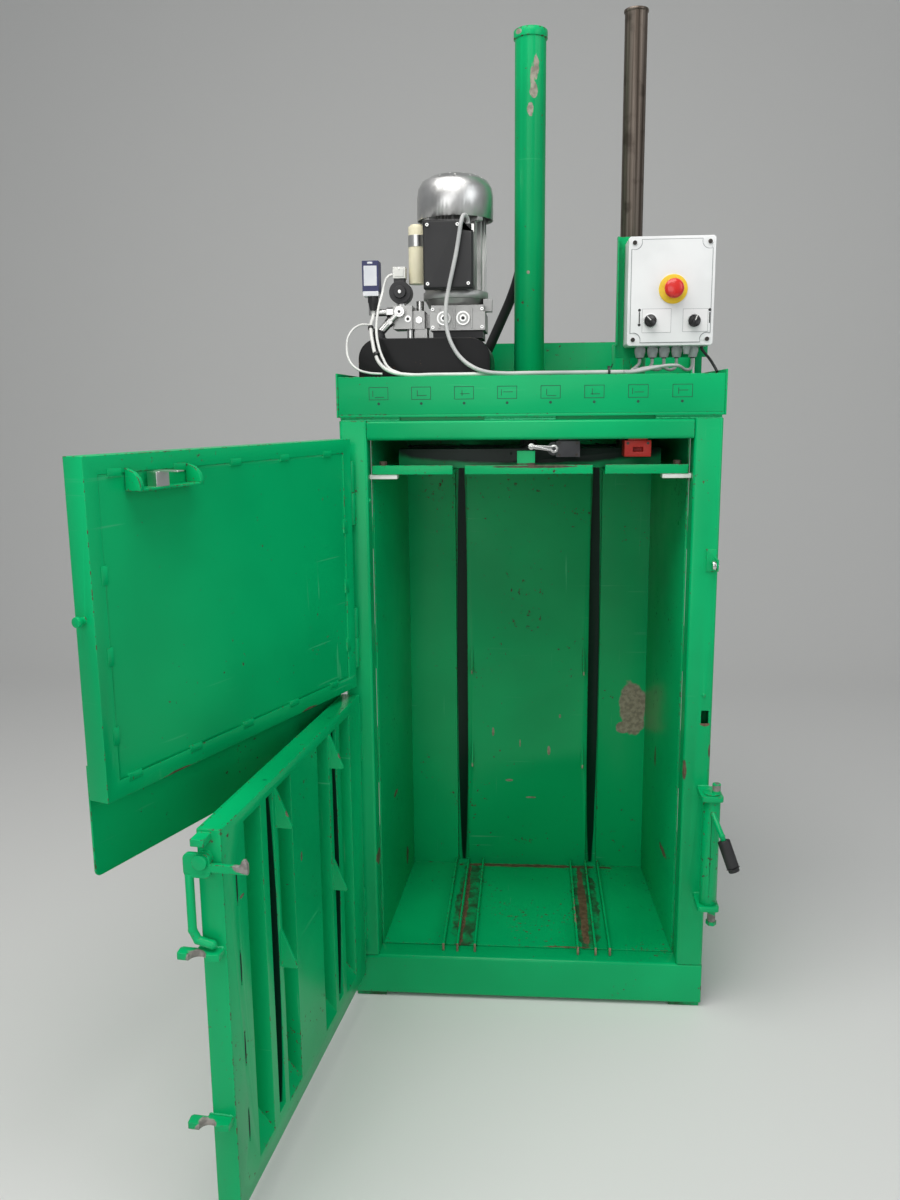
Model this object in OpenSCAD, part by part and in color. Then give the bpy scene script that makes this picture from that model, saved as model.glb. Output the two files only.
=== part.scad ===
// Small upright recycling baler with both doors standing open.
// Millimetres, +Z up. Origin on the floor under the middle of the front opening; -Y is the loading side.

/* [Body] */
// Overall width of the welded body
body_w = 820; // [800:5:860]
// Height of the body from the floor to the top of the head beam
body_top = 1367; // [1350:1:1390]
// Depth of the baling chamber behind the front posts
chamber_d = 511; // [490:1:540]
// Width and depth of the square corner posts
post = 60; // [60:1:64]
// Height of the sill member under the opening
sill_h = 100; // [92:1:104]
// Height of the head beam above the opening
beam_h = 42; // [38:1:43]
// Thickness of the feet under the base
foot_h = 8; // [6:1:9]
// Wall thickness of the folded chamber sheets
sheet = 4; // [3:0.5:5]
// How much narrower each chamber wall is at the back
wall_taper = 28; // [20:1:34]

/* [Deck and press] */
// Height of the front apron above the body
apron_h = 86; // [80:1:95]
// Height of the rear plate above the deck
rear_plate_h = 174; // [150:1:190]
// Outer diameter of the cylinder barrel
barrel_d = 70; // [68:1:76]
// Bore of the cylinder barrel
bore_d = 60; // [56:1:62]
// Diameter of the piston rod
rod_d = 40; // [34:1:42]
// Diameter of the guide rod beside the cylinder
guide_d = 50; // [44:1:52]
// Working stroke of the pressing plate
stroke = 690; // [600:10:690]

/* [Doors] */
// Opening angle of the lower door at rest
lower_angle = 97; // [94:1:100]
// Opening angle of the upper door at rest
upper_angle = 112; // [109:1:116]
// Thickness of both doors
door_t = 40; // [36:1:41]
// Height of the joint between the doors above the floor
door_split = 772; // [768:1:776]
// Length of each retaining tooth
tooth_len = 78; // [70:1:84]

/* [Lock] */
// Diameter of the lock tube
lock_tube_d = 38; // [34:1:39]
// Offset of the lock pins from the tube axis
lock_offset = 9; // [8:0.5:9]
// Diameter of the lock pins
lock_pin_d = 18; // [15:1:18]

/* [Controls] */
// Width of the control enclosure
box_w = 180; // [172:1:184]
// Height of the control enclosure
box_h = 222; // [214:1:228]
// Depth of the control enclosure
box_d = 88; // [80:1:90]
// Diameter of the emergency stop head
stop_d = 40; // [36:1:44]
// Diameter of the two selector knobs
knob_d = 25; // [22:1:27]

/* [Hidden] */
green = [0.0, 0.55, 0.33];
dark = [0.12, 0.12, 0.13];
alu = [0.72, 0.73, 0.74];
$fn = 48;
e = 1;                          // overrun of a cutter past a face
gap = 0.3;                      // gap between pieces that only meet
run = 0.05;                     // radial running clearance
hw = body_w / 2;                // half width of the body
ix = hw - post;                 // half width of the opening
sill_top = foot_h + sill_h;
open_top = body_top - beam_h;
post_wall = 4;
back_y = chamber_d;
lap = 3.5;                      // step from post face to wall sheet
function wx(y) = ix - lap - (wall_taper - lap) * (y - post) / (back_y - post);
rear_post = 50;
strap_x = 180;                  // strap grooves, from the centre line
strap_w = 30;
strap_deep = 25;
tooth_x = 152;                  // retaining teeth, from the centre line
tooth_t = 5;
tooth_out = 30;
tooth_z1 = 671;
tooth_z2 = 406;
spacer = 7;
deck_z = body_top + spacer;
deck_t = 6;
deck_top = deck_z + deck_t;
apron_top = deck_z + apron_h;
press_y = 258;                  // cylinder and guide rod, from the front
hose_y = 315;                   // hose behind the cylinder
guide_x = 232;
barrel_h = 816;                 // top of the barrel above the deck
barrel_top = deck_top + barrel_h;
cap_h = 20;
flange_t = 15;
piston_h = 40;
piston_top = barrel_top - 26;
platen_z = open_top - 75;       // underside of the pressing plate
platen_t = 6;
platen_top = platen_z + 20;
bridge_top = platen_top + 30;    // top of the channels across the pressing plate
hinge_x = 23 - hw;              // common axis of both doors
hinge_y = -14;
knuckle_d = 20;
pin_d = 12;
door_u0 = 14;                   // hinge edge of the doors, from the axis
door_u1 = hw - 29 - hinge_x;    // free edge of the doors, from the axis
door_in = 12;                   // inner face of the doors, from the axis
door_out = door_in - door_t;
door_mid = -hinge_x;            // machine centre line on the closed doors
lower_z0 = 82;
lower_z1 = door_split - 10;
upper_z0 = door_split + 9;
upper_z1 = open_top + 5;
lock_x = hw - 1.5;
lock_y = -45;
lug_z1 = 538;
lug_z0 = 278;
lug_t = 12;
journal_d = 24;
slot_z = 711;                   // latch slot in the right post
lever_u = door_u1 + 8;
lever_t = 8;
lever_v = -16;                  // pivot of the latch lever on the door
lever_z = 716;
claw_z1 = 553;
claw_z0 = 254;
claw_t = 12;
claw_u = lock_x - 1 - hinge_x;
motor_x = -168;
motor_y = 205;
tbox_y = motor_y - 70.3;        // back of the terminal box
cowl_r = 86;
cowl_t = 1.6;
tank_top = 166;                 // this and the next heights are above the deck
box_x = 297;                    // middle of the control enclosure
box_y = 40;
box_z = 139;
sw_y = 24;                      // front of the limit switch
sw_z = open_top - 21;
key_z = open_top - 24;          // middle of the slot for the safety key

module box3(a, b) {
  translate(a) cube(b - a);
}
module rrect(w, h, r) {
  translate([r, 0]) square([w - 2 * r, h]);
  translate([0, r]) square([w, h - 2 * r]);
  for (x = [r, w - r]) for (y = [r, h - r]) translate([x, y]) circle(r);
}
module prism_x(x0, x1) {
  translate([x0, 0, 0]) rotate([90, 0, 90]) linear_extrude(x1 - x0) children();
}
module prism_y(y0, y1) {
  translate([0, y1, 0]) rotate([90, 0, 0]) linear_extrude(y1 - y0) children();
}
module rod_x(x0, x1, y, z, d) {
  translate([x0, y, z]) rotate([0, 90, 0]) cylinder(d = d, h = x1 - x0);
}
module rod_y(y0, y1, x, z, d) {
  translate([x, y0, z]) rotate([-90, 0, 0]) cylinder(d = d, h = y1 - y0);
}
module rod_z(z0, z1, x, y, d) {
  translate([x, y, z0]) cylinder(d = d, h = z1 - z0);
}
module hex_z(z0, h, x, y, d) {
  translate([x, y, z0]) cylinder(d = d, h = h, $fn = 6);
}
module hex_y(y0, h, x, z, d) {
  translate([x, y0, z]) rotate([-90, 0, 0]) cylinder(d = d, h = h, $fn = 6);
}
module bar_between(a, b, d) {
  v = b - a;
  l = norm(v);
  translate(a) rotate([0, acos(v[2] / l), atan2(v[1], v[0])]) cylinder(d = d, h = l);
}
module on_deck() {
  translate([0, 0, deck_top]) children();
}
module at_door(angle) {
  translate([hinge_x, hinge_y, 0]) rotate([0, 0, -angle]) children();
}
module at_lower() {
  at_door(lower_angle) children();
}
module at_upper() {
  at_door(upper_angle) children();
}
// Round cord along a list of points.
function unit(v) = v / norm(v);
function way(p, i) = unit((i == 0 ? unit(p[1] - p[0]) : unit(p[i] - p[i - 1]))
  + (i == len(p) - 1 ? unit(p[i] - p[i - 1]) : unit(p[i + 1] - p[i])));
function side0(t) = unit(cross(t, abs(t[2]) < 0.8 ? [0, 0, 1] : [0, 1, 0]));
function sides(p, i, s) = i == len(p) ? [] :
  let (t = way(p, i), q = unit(s - (s * t) * t)) concat([q], sides(p, i + 1, q));
module cord(p, d, n = 8) {
  s = sides(p, 0, side0(way(p, 0)));
  pts = [for (i = [0:len(p) - 1]) let (t = way(p, i), a = s[i], b = cross(t, a))
    for (k = [0:n - 1]) p[i] + d / 2 * (cos(360 * k / n) * a + sin(360 * k / n) * b)];
  m = len(p);
  faces = concat([[for (k = [0:n - 1]) k]],
    [[for (k = [0:n - 1]) (m - 1) * n + n - 1 - k]],
    [for (i = [0:m - 2]) for (k = [0:n - 1])
      [i * n + k, (i + 1) * n + k, (i + 1) * n + (k + 1) % n, i * n + (k + 1) % n]]);
  polyhedron(points = pts, faces = faces, convexity = 6);
}

// Sill: full width box section that the posts stand on.
module sill() color(green) difference() {
  prism_x(-hw, hw) translate([0, foot_h]) rrect(post, sill_h, 8);
  box3([-hw - e, post_wall, foot_h + post_wall], [hw + e, post - post_wall, sill_top - post_wall]);
}

// Left post: square tube with the fixed hinge halves and their pins.
module post_tube(x0) {
  difference() {
    translate([x0, 0, sill_top]) linear_extrude(body_top - sill_top) rrect(post, post, 7);
    translate([x0 + post_wall, post_wall, sill_top + 6])
      linear_extrude(body_top - sill_top - 12) square(post - 2 * post_wall);
  }
}
hinge_z = [[150, 68], [600, 68], [823, 68], [1144, 70]];
module hinge_fixed(z, h) {
  rod_z(z, z + h, hinge_x, hinge_y, knuckle_d);
  rod_z(z, z + h + 68, hinge_x, hinge_y, pin_d);
  box3([hinge_x - 9, hinge_y + 2, z], [hinge_x + 9, 0, z + h]);
}
module post_left() color(green) union() {
  post_tube(-hw);
  for (q = hinge_z) hinge_fixed(q[0], q[1]);
  rod_x(-ix, -ix + 4, 12, 1194, 8);
}

// Right post: latch slot, two lock lugs and the carrier of the upper door roller.
module lug(z) difference() {
  translate([lock_x - 26, -70, z]) linear_extrude(lug_t) rrect(48, 70, 8);
  rod_z(z - e, z + lug_t + e, lock_x, lock_y, journal_d + 2 * run);
}
module post_right() color(green) union() {
  difference() {
    post_tube(ix);
    box3([hw - 24, -e, slot_z - 15], [hw - 8, post_wall + e, slot_z + 15]);
  }
  lug(lug_z1);
  lug(lug_z0);
  box3([hw - 26, -4, 1040], [hw - 4, 0, 1088]);
  difference() {
    box3([hw - 8, -30, 1044], [hw - 4, -4, 1070]);
    rod_x(hw - 9, hw, -20, 1056, 6);
  }
  rod_y(-4, 0, hw - 20, 762, 7);
}

// Head beam across the opening.
module head_beam() color(green) difference() {
  prism_x(-ix, ix) translate([0, open_top]) rrect(post, beam_h, 7);
  box3([-ix - e, post_wall, open_top + post_wall], [ix + e, post - post_wall, body_top - post_wall]);
}

// Chamber side walls: sheet leaning inwards to the back, with channel ribs outside.
module side_wall(s) {
  scale([s, 1, 1]) {
    translate([0, 0, sill_top]) linear_extrude(body_top - sill_top)
      polygon([[wx(post), post], [wx(post) + sheet, post], [wx(back_y) + sheet, back_y], [wx(back_y), back_y]]);
    for (z = [240, 520, 800, 1080]) translate([0, 0, z]) linear_extrude(40)
      polygon([[wx(post) + sheet, post], [hw - 12, post], [hw - 12, back_y - 1],
        [wx(back_y - 1) + sheet, back_y - 1]]);
  }
}
module side_wall_left() color(green) mirror([1, 0, 0]) side_wall(1);
module side_wall_right() color(green) side_wall(1);

// Back wall: sheet with two pressed strap grooves and four retaining teeth.
module tooth() {
  linear_extrude(tooth_t, center = true) union() {
    polygon([[0, 0], [0, tooth_len], [tooth_out, 5], [tooth_out - 2, 0]]);
  }
}
module back_tooth(x, z) {
  translate([x, back_y, z]) rotate([90, 0, -90]) tooth();
}
module back_wall() color(green) union() {
  difference() {
    box3([-hw + rear_post, back_y, sill_top], [hw - rear_post, back_y + sheet, body_top]);
    for (s = [-1, 1]) box3([s * strap_x - strap_w / 2, back_y - e, sill_top - e],
      [s * strap_x + strap_w / 2, back_y + sheet + e, body_top - 70]);
  }
  for (s = [-1, 1]) difference() {
    box3([s * strap_x - strap_w / 2 - 3, back_y + sheet, sill_top],
      [s * strap_x + strap_w / 2 + 3, back_y + strap_deep + 3, body_top - 67]);
    box3([s * strap_x - strap_w / 2, back_y, sill_top - e],
      [s * strap_x + strap_w / 2, back_y + strap_deep, body_top - 70]);
  }
  for (x = [-tooth_x, tooth_x]) for (z = [tooth_z1, tooth_z2]) back_tooth(x, z);
}

// Rear corner posts.
module rear_posts() color(green) for (s = [-1, 1]) difference() {
  translate([s > 0 ? hw - rear_post : -hw, back_y, foot_h]) linear_extrude(body_top - foot_h)
    rrect(rear_post, rear_post, 6);
  translate([(s > 0 ? hw - rear_post : -hw) + post_wall, back_y + post_wall, foot_h + 6])
    cube([rear_post - 2 * post_wall, rear_post - 2 * post_wall, body_top - foot_h - 12]);
}

// Cross rails behind the back wall.
module back_rails() color(green) for (z = [180, 520, 860, 1180])
  box3([-hw + rear_post, back_y + strap_deep + 3, z], [hw - rear_post, back_y + rear_post, z + 40]);

// Base rails, cross members under the floor and the four feet.
module base_frame() color(green) union() {
  for (s = [-1, 1]) {
    difference() {
      box3([s > 0 ? ix : -hw, post, foot_h], [s > 0 ? hw : -ix, back_y, sill_top - sheet]);
      box3([s > 0 ? ix + 4 : -hw + 4, post - e, foot_h + 4],
        [s > 0 ? hw - 4 : -ix - 4, back_y + e, sill_top - sheet - 4]);
    }
    for (y = [6, back_y - 30]) box3([s > 0 ? hw - 74 : -hw + 4, y, 0], [s > 0 ? hw - 4 : -hw + 74, y + 70, foot_h]);
  }
  for (y = [200, 380]) box3([-ix, y, foot_h + 50], [ix, y + 40, sill_top - sheet]);
  difference() {
    box3([-hw + rear_post, back_y, foot_h], [hw - rear_post, back_y + rear_post, sill_top]);
    box3([-hw + rear_post - e, back_y + 4, foot_h + 4], [hw - rear_post + e, back_y + rear_post - 4, sill_top - 4]);
  }
}

// Chamber floor and its six strap bars.
module floor_plate() color(green) translate([0, 0, sill_top - sheet]) linear_extrude(sheet)
  polygon([[-ix, post], [ix, post], [ix, back_y], [-ix, back_y]]);
module floor_bars() color(green)
  for (s = [-1, 1]) for (x = [123, 165, 198.5])
    box3([s * x - 2.5, 26, sill_top], [s * x + 2.5, back_y - 6, sill_top + 20]);

// Deck plate with the spacer pads it stands on.
module deck_plate() color(green) difference() {
  union() {
    box3([-hw, 0, deck_z], [hw, back_y + rear_post, deck_top]);
    for (q = [[3 - hw, 133 - hw], [-95, 58], [hw - 142, hw - 3]]) box3([q[0], 5, body_top], [q[1], 50, deck_z]);
    for (s = [-1, 1]) box3([s * (hw - 60) - 48, back_y + 4, body_top], [s * (hw - 60) + 48, back_y + 46, deck_z]);
  }
  rod_z(deck_z - e, deck_top + e, 0, press_y, rod_d + 8);
  rod_z(deck_z - e, deck_top + e, guide_x, press_y, guide_d + 6);
}

// Front apron: upright sheet with its top edge folded back.
module front_apron() color(green) prism_x(-hw, hw) union() {
  translate([0, deck_top]) square([4, apron_top - deck_top]);
  translate([0, apron_top - 4]) square([38, 4]);
  translate([34, apron_top - 16]) square([4, 13]);
}

// Upright plate at the back of the deck.
module rear_plate() color(green) union() {
  box3([-hw, back_y, deck_top], [hw, back_y + 5, deck_top + rear_plate_h]);
  for (x = [-300, -100, 100, 300]) prism_x(x - 3, x + 3)
    polygon([[back_y + 5, deck_top], [back_y + 45, deck_top], [back_y + 5, deck_top + 120]]);
}

// End plates that close the deck tray on both sides.
module end_plates() color(green) for (s = [-1, 1]) prism_x(s > 0 ? hw : -hw - 4, s > 0 ? hw + 4 : -hw)
  polygon([[-2, deck_z], [back_y + rear_post, deck_z], [back_y + rear_post, apron_top + 30],
    [back_y + 5, deck_top + rear_plate_h], [back_y - 40, apron_top + 8], [-2, apron_top + 8]]);

// Cylinder barrel with its closed cap and the pipe boss at the back of the cap end.
module cylinder_shape() difference() {
  union() {
    rod_z(deck_top + flange_t, barrel_top, 0, press_y, barrel_d);
    rod_z(barrel_top, barrel_top + cap_h - 3, 0, press_y, barrel_d + 6);
    translate([0, press_y, barrel_top + cap_h - 3]) cylinder(d1 = barrel_d + 6, d2 = barrel_d, h = 3);
    rod_y(press_y, press_y + barrel_d / 2 + 36, 0, barrel_top - 40, 32);
    rod_z(barrel_top - 68, barrel_top - 40, 0, hose_y, 20);
  }
  rod_z(deck_top + flange_t - e, barrel_top - 10, 0, press_y, bore_d);
}
module press_cylinder() color(green) cylinder_shape();

// Bolted foot flange of the cylinder with its gland inside the barrel.
module cylinder_flange() color(green) union() {
  difference() {
    union() {
      translate([-70, press_y - 70, deck_top]) linear_extrude(flange_t) rrect(140, 140, 10);
      rod_z(deck_top + flange_t, deck_top + flange_t + 32, 0, press_y, bore_d);
    }
    rod_z(deck_top - e, deck_top + 60, 0, press_y, rod_d + 2 * run);
  }
  for (sx = [-1, 1]) for (sy = [-1, 1])
    hex_z(deck_top + flange_t, 11, sx * 54, press_y + sy * 54, 26);
}

// Collar that guides the plain rod, with its base flange.
module guide_sleeve() color(green) on_deck() difference() {
  union() {
    rod_z(0, 153, guide_x, press_y, guide_d + 28);
    rod_z(0, 12, guide_x, press_y, guide_d + 70);
  }
  rod_z(-e, 154, guide_x, press_y, guide_d + 2 * run);
}

// Oil tank with strongly rounded top edges.
module tank_form() prism_y(100, 400) union() {
  translate([-380, 0]) square([294, tank_top - 45]);
  translate([-380 + 45, 0]) square([294 - 90, tank_top]);
  for (x = [-380 + 45, -86 - 45]) translate([x, tank_top - 45]) circle(45);
}
module tank() color(dark) on_deck() difference() {
  tank_form();
  box3([-374, 106, 5], [-92, 394, tank_top - 52]);
}

// Filler and breather cap on the tank shoulder.
module filler_cap() color(dark) on_deck() difference() {
  union() {
    rod_z(tank_top - 14, tank_top + 4, -345, 135, 20);
    rod_z(tank_top + 4, tank_top + 18, -345, 135, 32);
  }
  tank_form();
}

// Pump and valve block under the motor, with two screwed port plugs.
module pump_block() color(alu) on_deck() difference() {
  union() {
    box3([-228, 140, tank_top], [-98, 280, 183]);
    box3([-232, 132, 183], [-94, 282, 239]);
    rod_z(239, 254, motor_x, motor_y, 136);
    for (x = [-190, -147]) rod_y(124, 133, x, 211, 26);
    rod_x(-95, -76, 235, 210, 30);
  }
  for (x = [-190, -147]) hex_y(123, 6, x, 211, 12);
  rod_z(220, 260, motor_x, motor_y, 22 + 2 * run);
}

// Motor housing with cooling fins round the stator bore.
module motor() color(alu) on_deck() difference() {
  union() {
    rod_z(254, 270, motor_x, motor_y, 148);
    rod_z(270, 432, motor_x, motor_y, 118);
    for (a = [0:15:345]) translate([motor_x, motor_y, 272]) rotate([0, 0, a])
      translate([56, -1.75, 0]) cube([14, 3.5, 158]);
    box3([motor_x - 42, tbox_y, 280], [motor_x + 46, motor_y - 50, 410]);
    for (a = [45:90:315]) translate([motor_x, motor_y, 418]) rotate([0, 0, a])
      translate([54, -8, 0]) cube([cowl_r - cowl_t - gap - 54, 16, 13]);
  }
  rod_z(275, 420, motor_x, motor_y, 86);
  rod_z(253, 433, motor_x, motor_y, 22 + 2 * run);
}

// Domed fan cowl over the top of the motor.
module motor_cowl() color(alu) on_deck() translate([motor_x, motor_y, 0]) difference() {
  rotate_extrude() polygon([[0, 527], [34, 525], [58, 519], [74, 509], [cowl_r - 3, 494], [cowl_r, 475],
    [cowl_r, 426], [cowl_r - cowl_t, 426], [cowl_r - cowl_t, 475], [cowl_r - 4.6, 493],
    [72.8, 507.3], [57.3, 517.2], [33.8, 523.2], [0, 525.2]]);
  for (r = [20:11:64]) for (a = [0:30:330]) rotate([0, 0, a + r])
    translate([r, -2, 490]) cube([6, 4, 50]);
}

// Terminal box on the front of the motor with its stepped corner and four screws.
module terminal_box() color(dark) on_deck() difference() {
  union() {
    prism_y(104, tbox_y)
      polygon([[-232, 270.4], [-122.5, 270.4], [-122.5, 392], [-146, 394], [-146, 415], [-232, 415]]);
    prism_y(98, 104) polygon([[-230, 272], [-125, 272], [-125, 388], [-148, 391], [-148, 411], [-230, 411]]);
    for (q = [[-222, 280], [-133, 280], [-222, 403], [-156, 403]]) rod_y(95.5, 98, q[0], q[1], 9);
    rod_z(393, 406, -134, 116, 15);
  }
  box3([-226, 110, 276], [-150, tbox_y - 4, 386]);
}

// Starting capacitor strapped beside the motor.
module capacitor() color([0.9, 0.87, 0.75]) on_deck() difference() {
  union() {
    rod_z(288, 412, -253, 176, 38);
    rod_z(412, 416, -253, 176, 30);
    box3([-254, 178, 340], [-222, 190, 360]);
  }
  rod_z(220, 450, motor_x, motor_y, 140.6);
}

// Valve manifold left of the pump block.
module manifold() color(alu) on_deck() union() {
  box3([-306, 150, 192], [-240, 215, 240]);
  box3([-262, 135, 188], [-232, 262, 224]);
  box3([-296, 160, tank_top], [-244, 205, 192]);
  rod_z(240, 254, -264, 199, 20);
}

// Solenoid coil on the manifold with its plug.
module solenoid() color(dark) on_deck() union() {
  rod_z(240, 248, -295, 172, 26);
  rod_z(248, 294, -295, 172, 46);
  rod_z(294, 301, -295, 172, 17);
  box3([-322, 160, 254], [-315, 184, 282]);
  box3([-308, 142, 296], [-280, 164, 326]);
  box3([-304, 146, 280], [-284, 168, 297]);
}

// Relief valve cartridge pointing down to the front left.
module relief_valve() color(alu) on_deck() difference() {
  union() {
    bar_between([-284, 160, 223], [-316, 128, 200], 26);
    bar_between([-316, 128, 200], [-342, 108, 182], 18);
    bar_between([-310, 134, 204], [-318, 126, 198.5], 32);
  }
  box3([-306, 150, 180], [-240, 216, 240]);
  tank_form();
}

// Pressure switch on an elbow from the manifold.
module pressure_switch() color([0.75, 0.78, 0.85]) on_deck() union() {
  box3([-373, 130, 270], [-333, 172, 336]);
  box3([-371, 132, 260], [-335, 170, 270]);
  rod_z(226, 260, -353, 158, 22);
  rod_x(-353, -306, 158, 226, 16);
  rod_z(238, 261, -364, 139, 16);
  translate([-353, 158, 226]) sphere(d = 23);
}

// Bracket that carries the control enclosure on two legs.
module control_bracket() color(green) on_deck() union() {
  box3([190, box_y + box_d, 118], [392, box_y + box_d + 4, 374]);
  box3([190, box_y + box_d - 24, 144], [193, box_y + box_d + 2, 372]);
  for (x = [208, 365]) {
    box3([x, box_y + box_d, 0], [x + 15, box_y + box_d + 4, 120]);
    box3([x, box_y + box_d, 0], [x + 15, box_y + box_d + 40, 0 + 4]);
  }
}

// Control enclosure back shell and its cut-corner cover.
module enclosure(y0, y1, inset, cut) {
  prism_y(y0, y1) translate([box_x - box_w / 2 + inset, box_z + inset])
    polygon([[cut, 0], [box_w - 2 * inset - cut, 0], [box_w - 2 * inset, cut],
      [box_w - 2 * inset, box_h - 2 * inset - cut], [box_w - 2 * inset - cut, box_h - 2 * inset],
      [cut, box_h - 2 * inset], [0, box_h - 2 * inset - cut], [0, cut]]);
}
module control_box() color([0.86, 0.86, 0.84]) on_deck() difference() {
  enclosure(box_y + 24, box_y + box_d, 0, 4);
  enclosure(box_y + 23, box_y + box_d - 3, 4, 4);
}
stop_x = 301;
stop_z = 254;
knobs = [[255, 190], [346.5, 188.5]];
module control_cover() color([0.9, 0.9, 0.88]) on_deck() union() {
  difference() {
    union() {
      enclosure(box_y, box_y + 24, 0, 4);
    }
    enclosure(box_y + 3, box_y + 25, 4, 4);
    rod_y(box_y - e, box_y + 4, stop_x, stop_z, 23);
    for (q = knobs) rod_y(box_y - e, box_y + 4, q[0], q[1], 15);
  }
  for (sx = [-1, 1]) for (sz = [0, 1])
    rod_y(box_y - 1.5, box_y, box_x + sx * (box_w / 2 - 12), box_z + 13 + sz * (box_h - 26), 9);
  for (q = knobs) translate([q[0], box_y, q[1]]) rotate([90, 0, 0]) difference() {
    cylinder(d = knob_d + 5, h = 4);
    translate([0, 0, -e]) cylinder(d = 15, h = 6);
  }
}

// Cable glands in the underside of the control enclosure.
gland_x = [240, 265, 289, 316, 358];
module glands() color([0.45, 0.46, 0.47]) on_deck() union() {
  for (x = gland_x) {
    hex_z(box_z - 8, 8, x, 88, 21);
    rod_z(box_z - 22, box_z - 8, x, 88, 16);
  }
  hex_z(box_z - 6, 6, 337, 88, 14);
  rod_z(box_z - 16, box_z - 6, 337, 88, 10);
}

// Yellow ring behind the emergency stop head.
module estop_ring() color([0.95, 0.8, 0.05]) on_deck() difference() {
  rod_y(box_y - 4, box_y, stop_x, stop_z, stop_d + 20);
  rod_y(box_y - 5, box_y + e, stop_x, stop_z, 23);
}

// Limit switch under the head beam and its short hanger.
module limit_switch() color(alu) union() {
  box3([59, sw_y, sw_z - 18], [111, sw_y + 30, sw_z + 17]);
  rod_y(sw_y + 8, sw_y + 30, 55, sw_z, 30);
  rod_y(sw_y - 6, sw_y + 8, 55, sw_z, 7);
  box3([64, sw_y + 4, sw_z + 17], [106, sw_y + 28, open_top]);
}

// Safety switch of the upper door with the slot for its key.
module interlock_switch() color([0.75, 0.08, 0.08]) difference() {
  union() {
    box3([208, 45, key_z - 16], [265, 110, key_z + 19]);
    box3([216, 48, key_z + 19], [257, 59, open_top]);
    box3([258, 80, key_z - 11], [270, 104, key_z + 14]);
  }
  box3([226, 44, key_z - 5], [248, 72, key_z + 5]);
}

// Cords: motor lead, signal leads, gland tails and the pressure hose.
motor_route = [[-134, 116, 406.3], [-134, 116, 412], [-136.5, 108, 420], [-142, 96, 421],
  [-147, 84, 406], [-151, 82, 382],
  [-158, 81, 342], [-167, 80, 302], [-176, 79, 262], [-181, 77, 230], [-181, 74, 200],
  [-176, 68, 170], [-164, 58, 142], [-146, 46, 118], [-122, 34, 100], [-94, 25, 89],
  [-60, 20, 85], [0, 18, 84.6], [60, 18, 84.6], [120, 20, 84.6], [180, 20, 84.6], [198, 20, 84.6]];
module motor_cable() color([0.8, 0.8, 0.78]) on_deck() cord(motor_route, 9);
signal_route = [[-364, 139, 237.7], [-364, 139, 231], [-366, 132, 218], [-362, 114, 198],
  [-352, 96, 178], [-344, 82, 156],
  [-336, 62, 130], [-322, 44, 107], [-300, 32, 92], [-268, 28, 85], [-200, 30, 84.2],
  [-110, 33.5, 84.2], [-60, 32, 84.2], [0, 30, 84.2], [110, 30, 84.2], [180, 31, 84.2],
  [198, 31, 84.2]];
coil_route = [[-294, 141.7, 312], [-294.3, 137, 312.4], [-300, 127, 316], [-318, 116, 310],
  [-334, 106, 280], [-340, 98, 242],
  [-340, 88, 200], [-334, 74, 162], [-322, 56, 126], [-304, 42, 100], [-280, 36, 88]];
loop_route = [[-362, 114, 198], [-378, 106, 196], [-396, 88, 176], [-401, 74, 146], [-394, 62, 118],
  [-376, 50, 99], [-350, 40, 90], [-318, 36, 87]];
module signal_cables() color([0.85, 0.85, 0.83]) on_deck() union() {
  cord(signal_route, 8);
  cord(coil_route, 6, 6);
  cord(loop_route, 5, 6);
}
module gland_cables() color([0.6, 0.6, 0.6]) on_deck() union() {
  for (i = [0:4]) cord([[gland_x[i], 88, box_z - 22.3], [gland_x[i] - 1, 88, box_z - 34 - 2 * i],
    [gland_x[i] - 12, 86 - 3 * i, box_z - 46 - i], [max(gland_x[i] - 40, 226), 78 - 8 * i, 90 + 2 * i],
    [216, 44 - 5 * i, 84 + 2 * (i % 2)], [200.4, 36 - 4.5 * i, 84 + 1.6 * (i % 2)]], 7, 6);
  cord([[372, 88, box_z - gap], [372, 88, box_z - 4], [378, 88, 126], [388, 82, 113], [396, 70, 98],
    [402, 58, 84]], 6, 6);
}
hose_route = [[-75.7, 235, 210], [-69, 235, 210], [-57, 240, 223], [-52, 254, 246], [-49, 272, 280],
  [-40, 289, 320], [-26, 303, 370], [-11, 312, 430], [-2, 315, barrel_h - 316], [0, 315, barrel_h - 236],
  [0, 315, barrel_h - 156], [0, 315, barrel_h - 86]];
module pressure_hose() color(dark) on_deck() union() {
  cord(hose_route, 24, 10);
  rod_z(barrel_h - 96, barrel_h - 68 - gap, 0, hose_y, 28);
}

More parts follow.
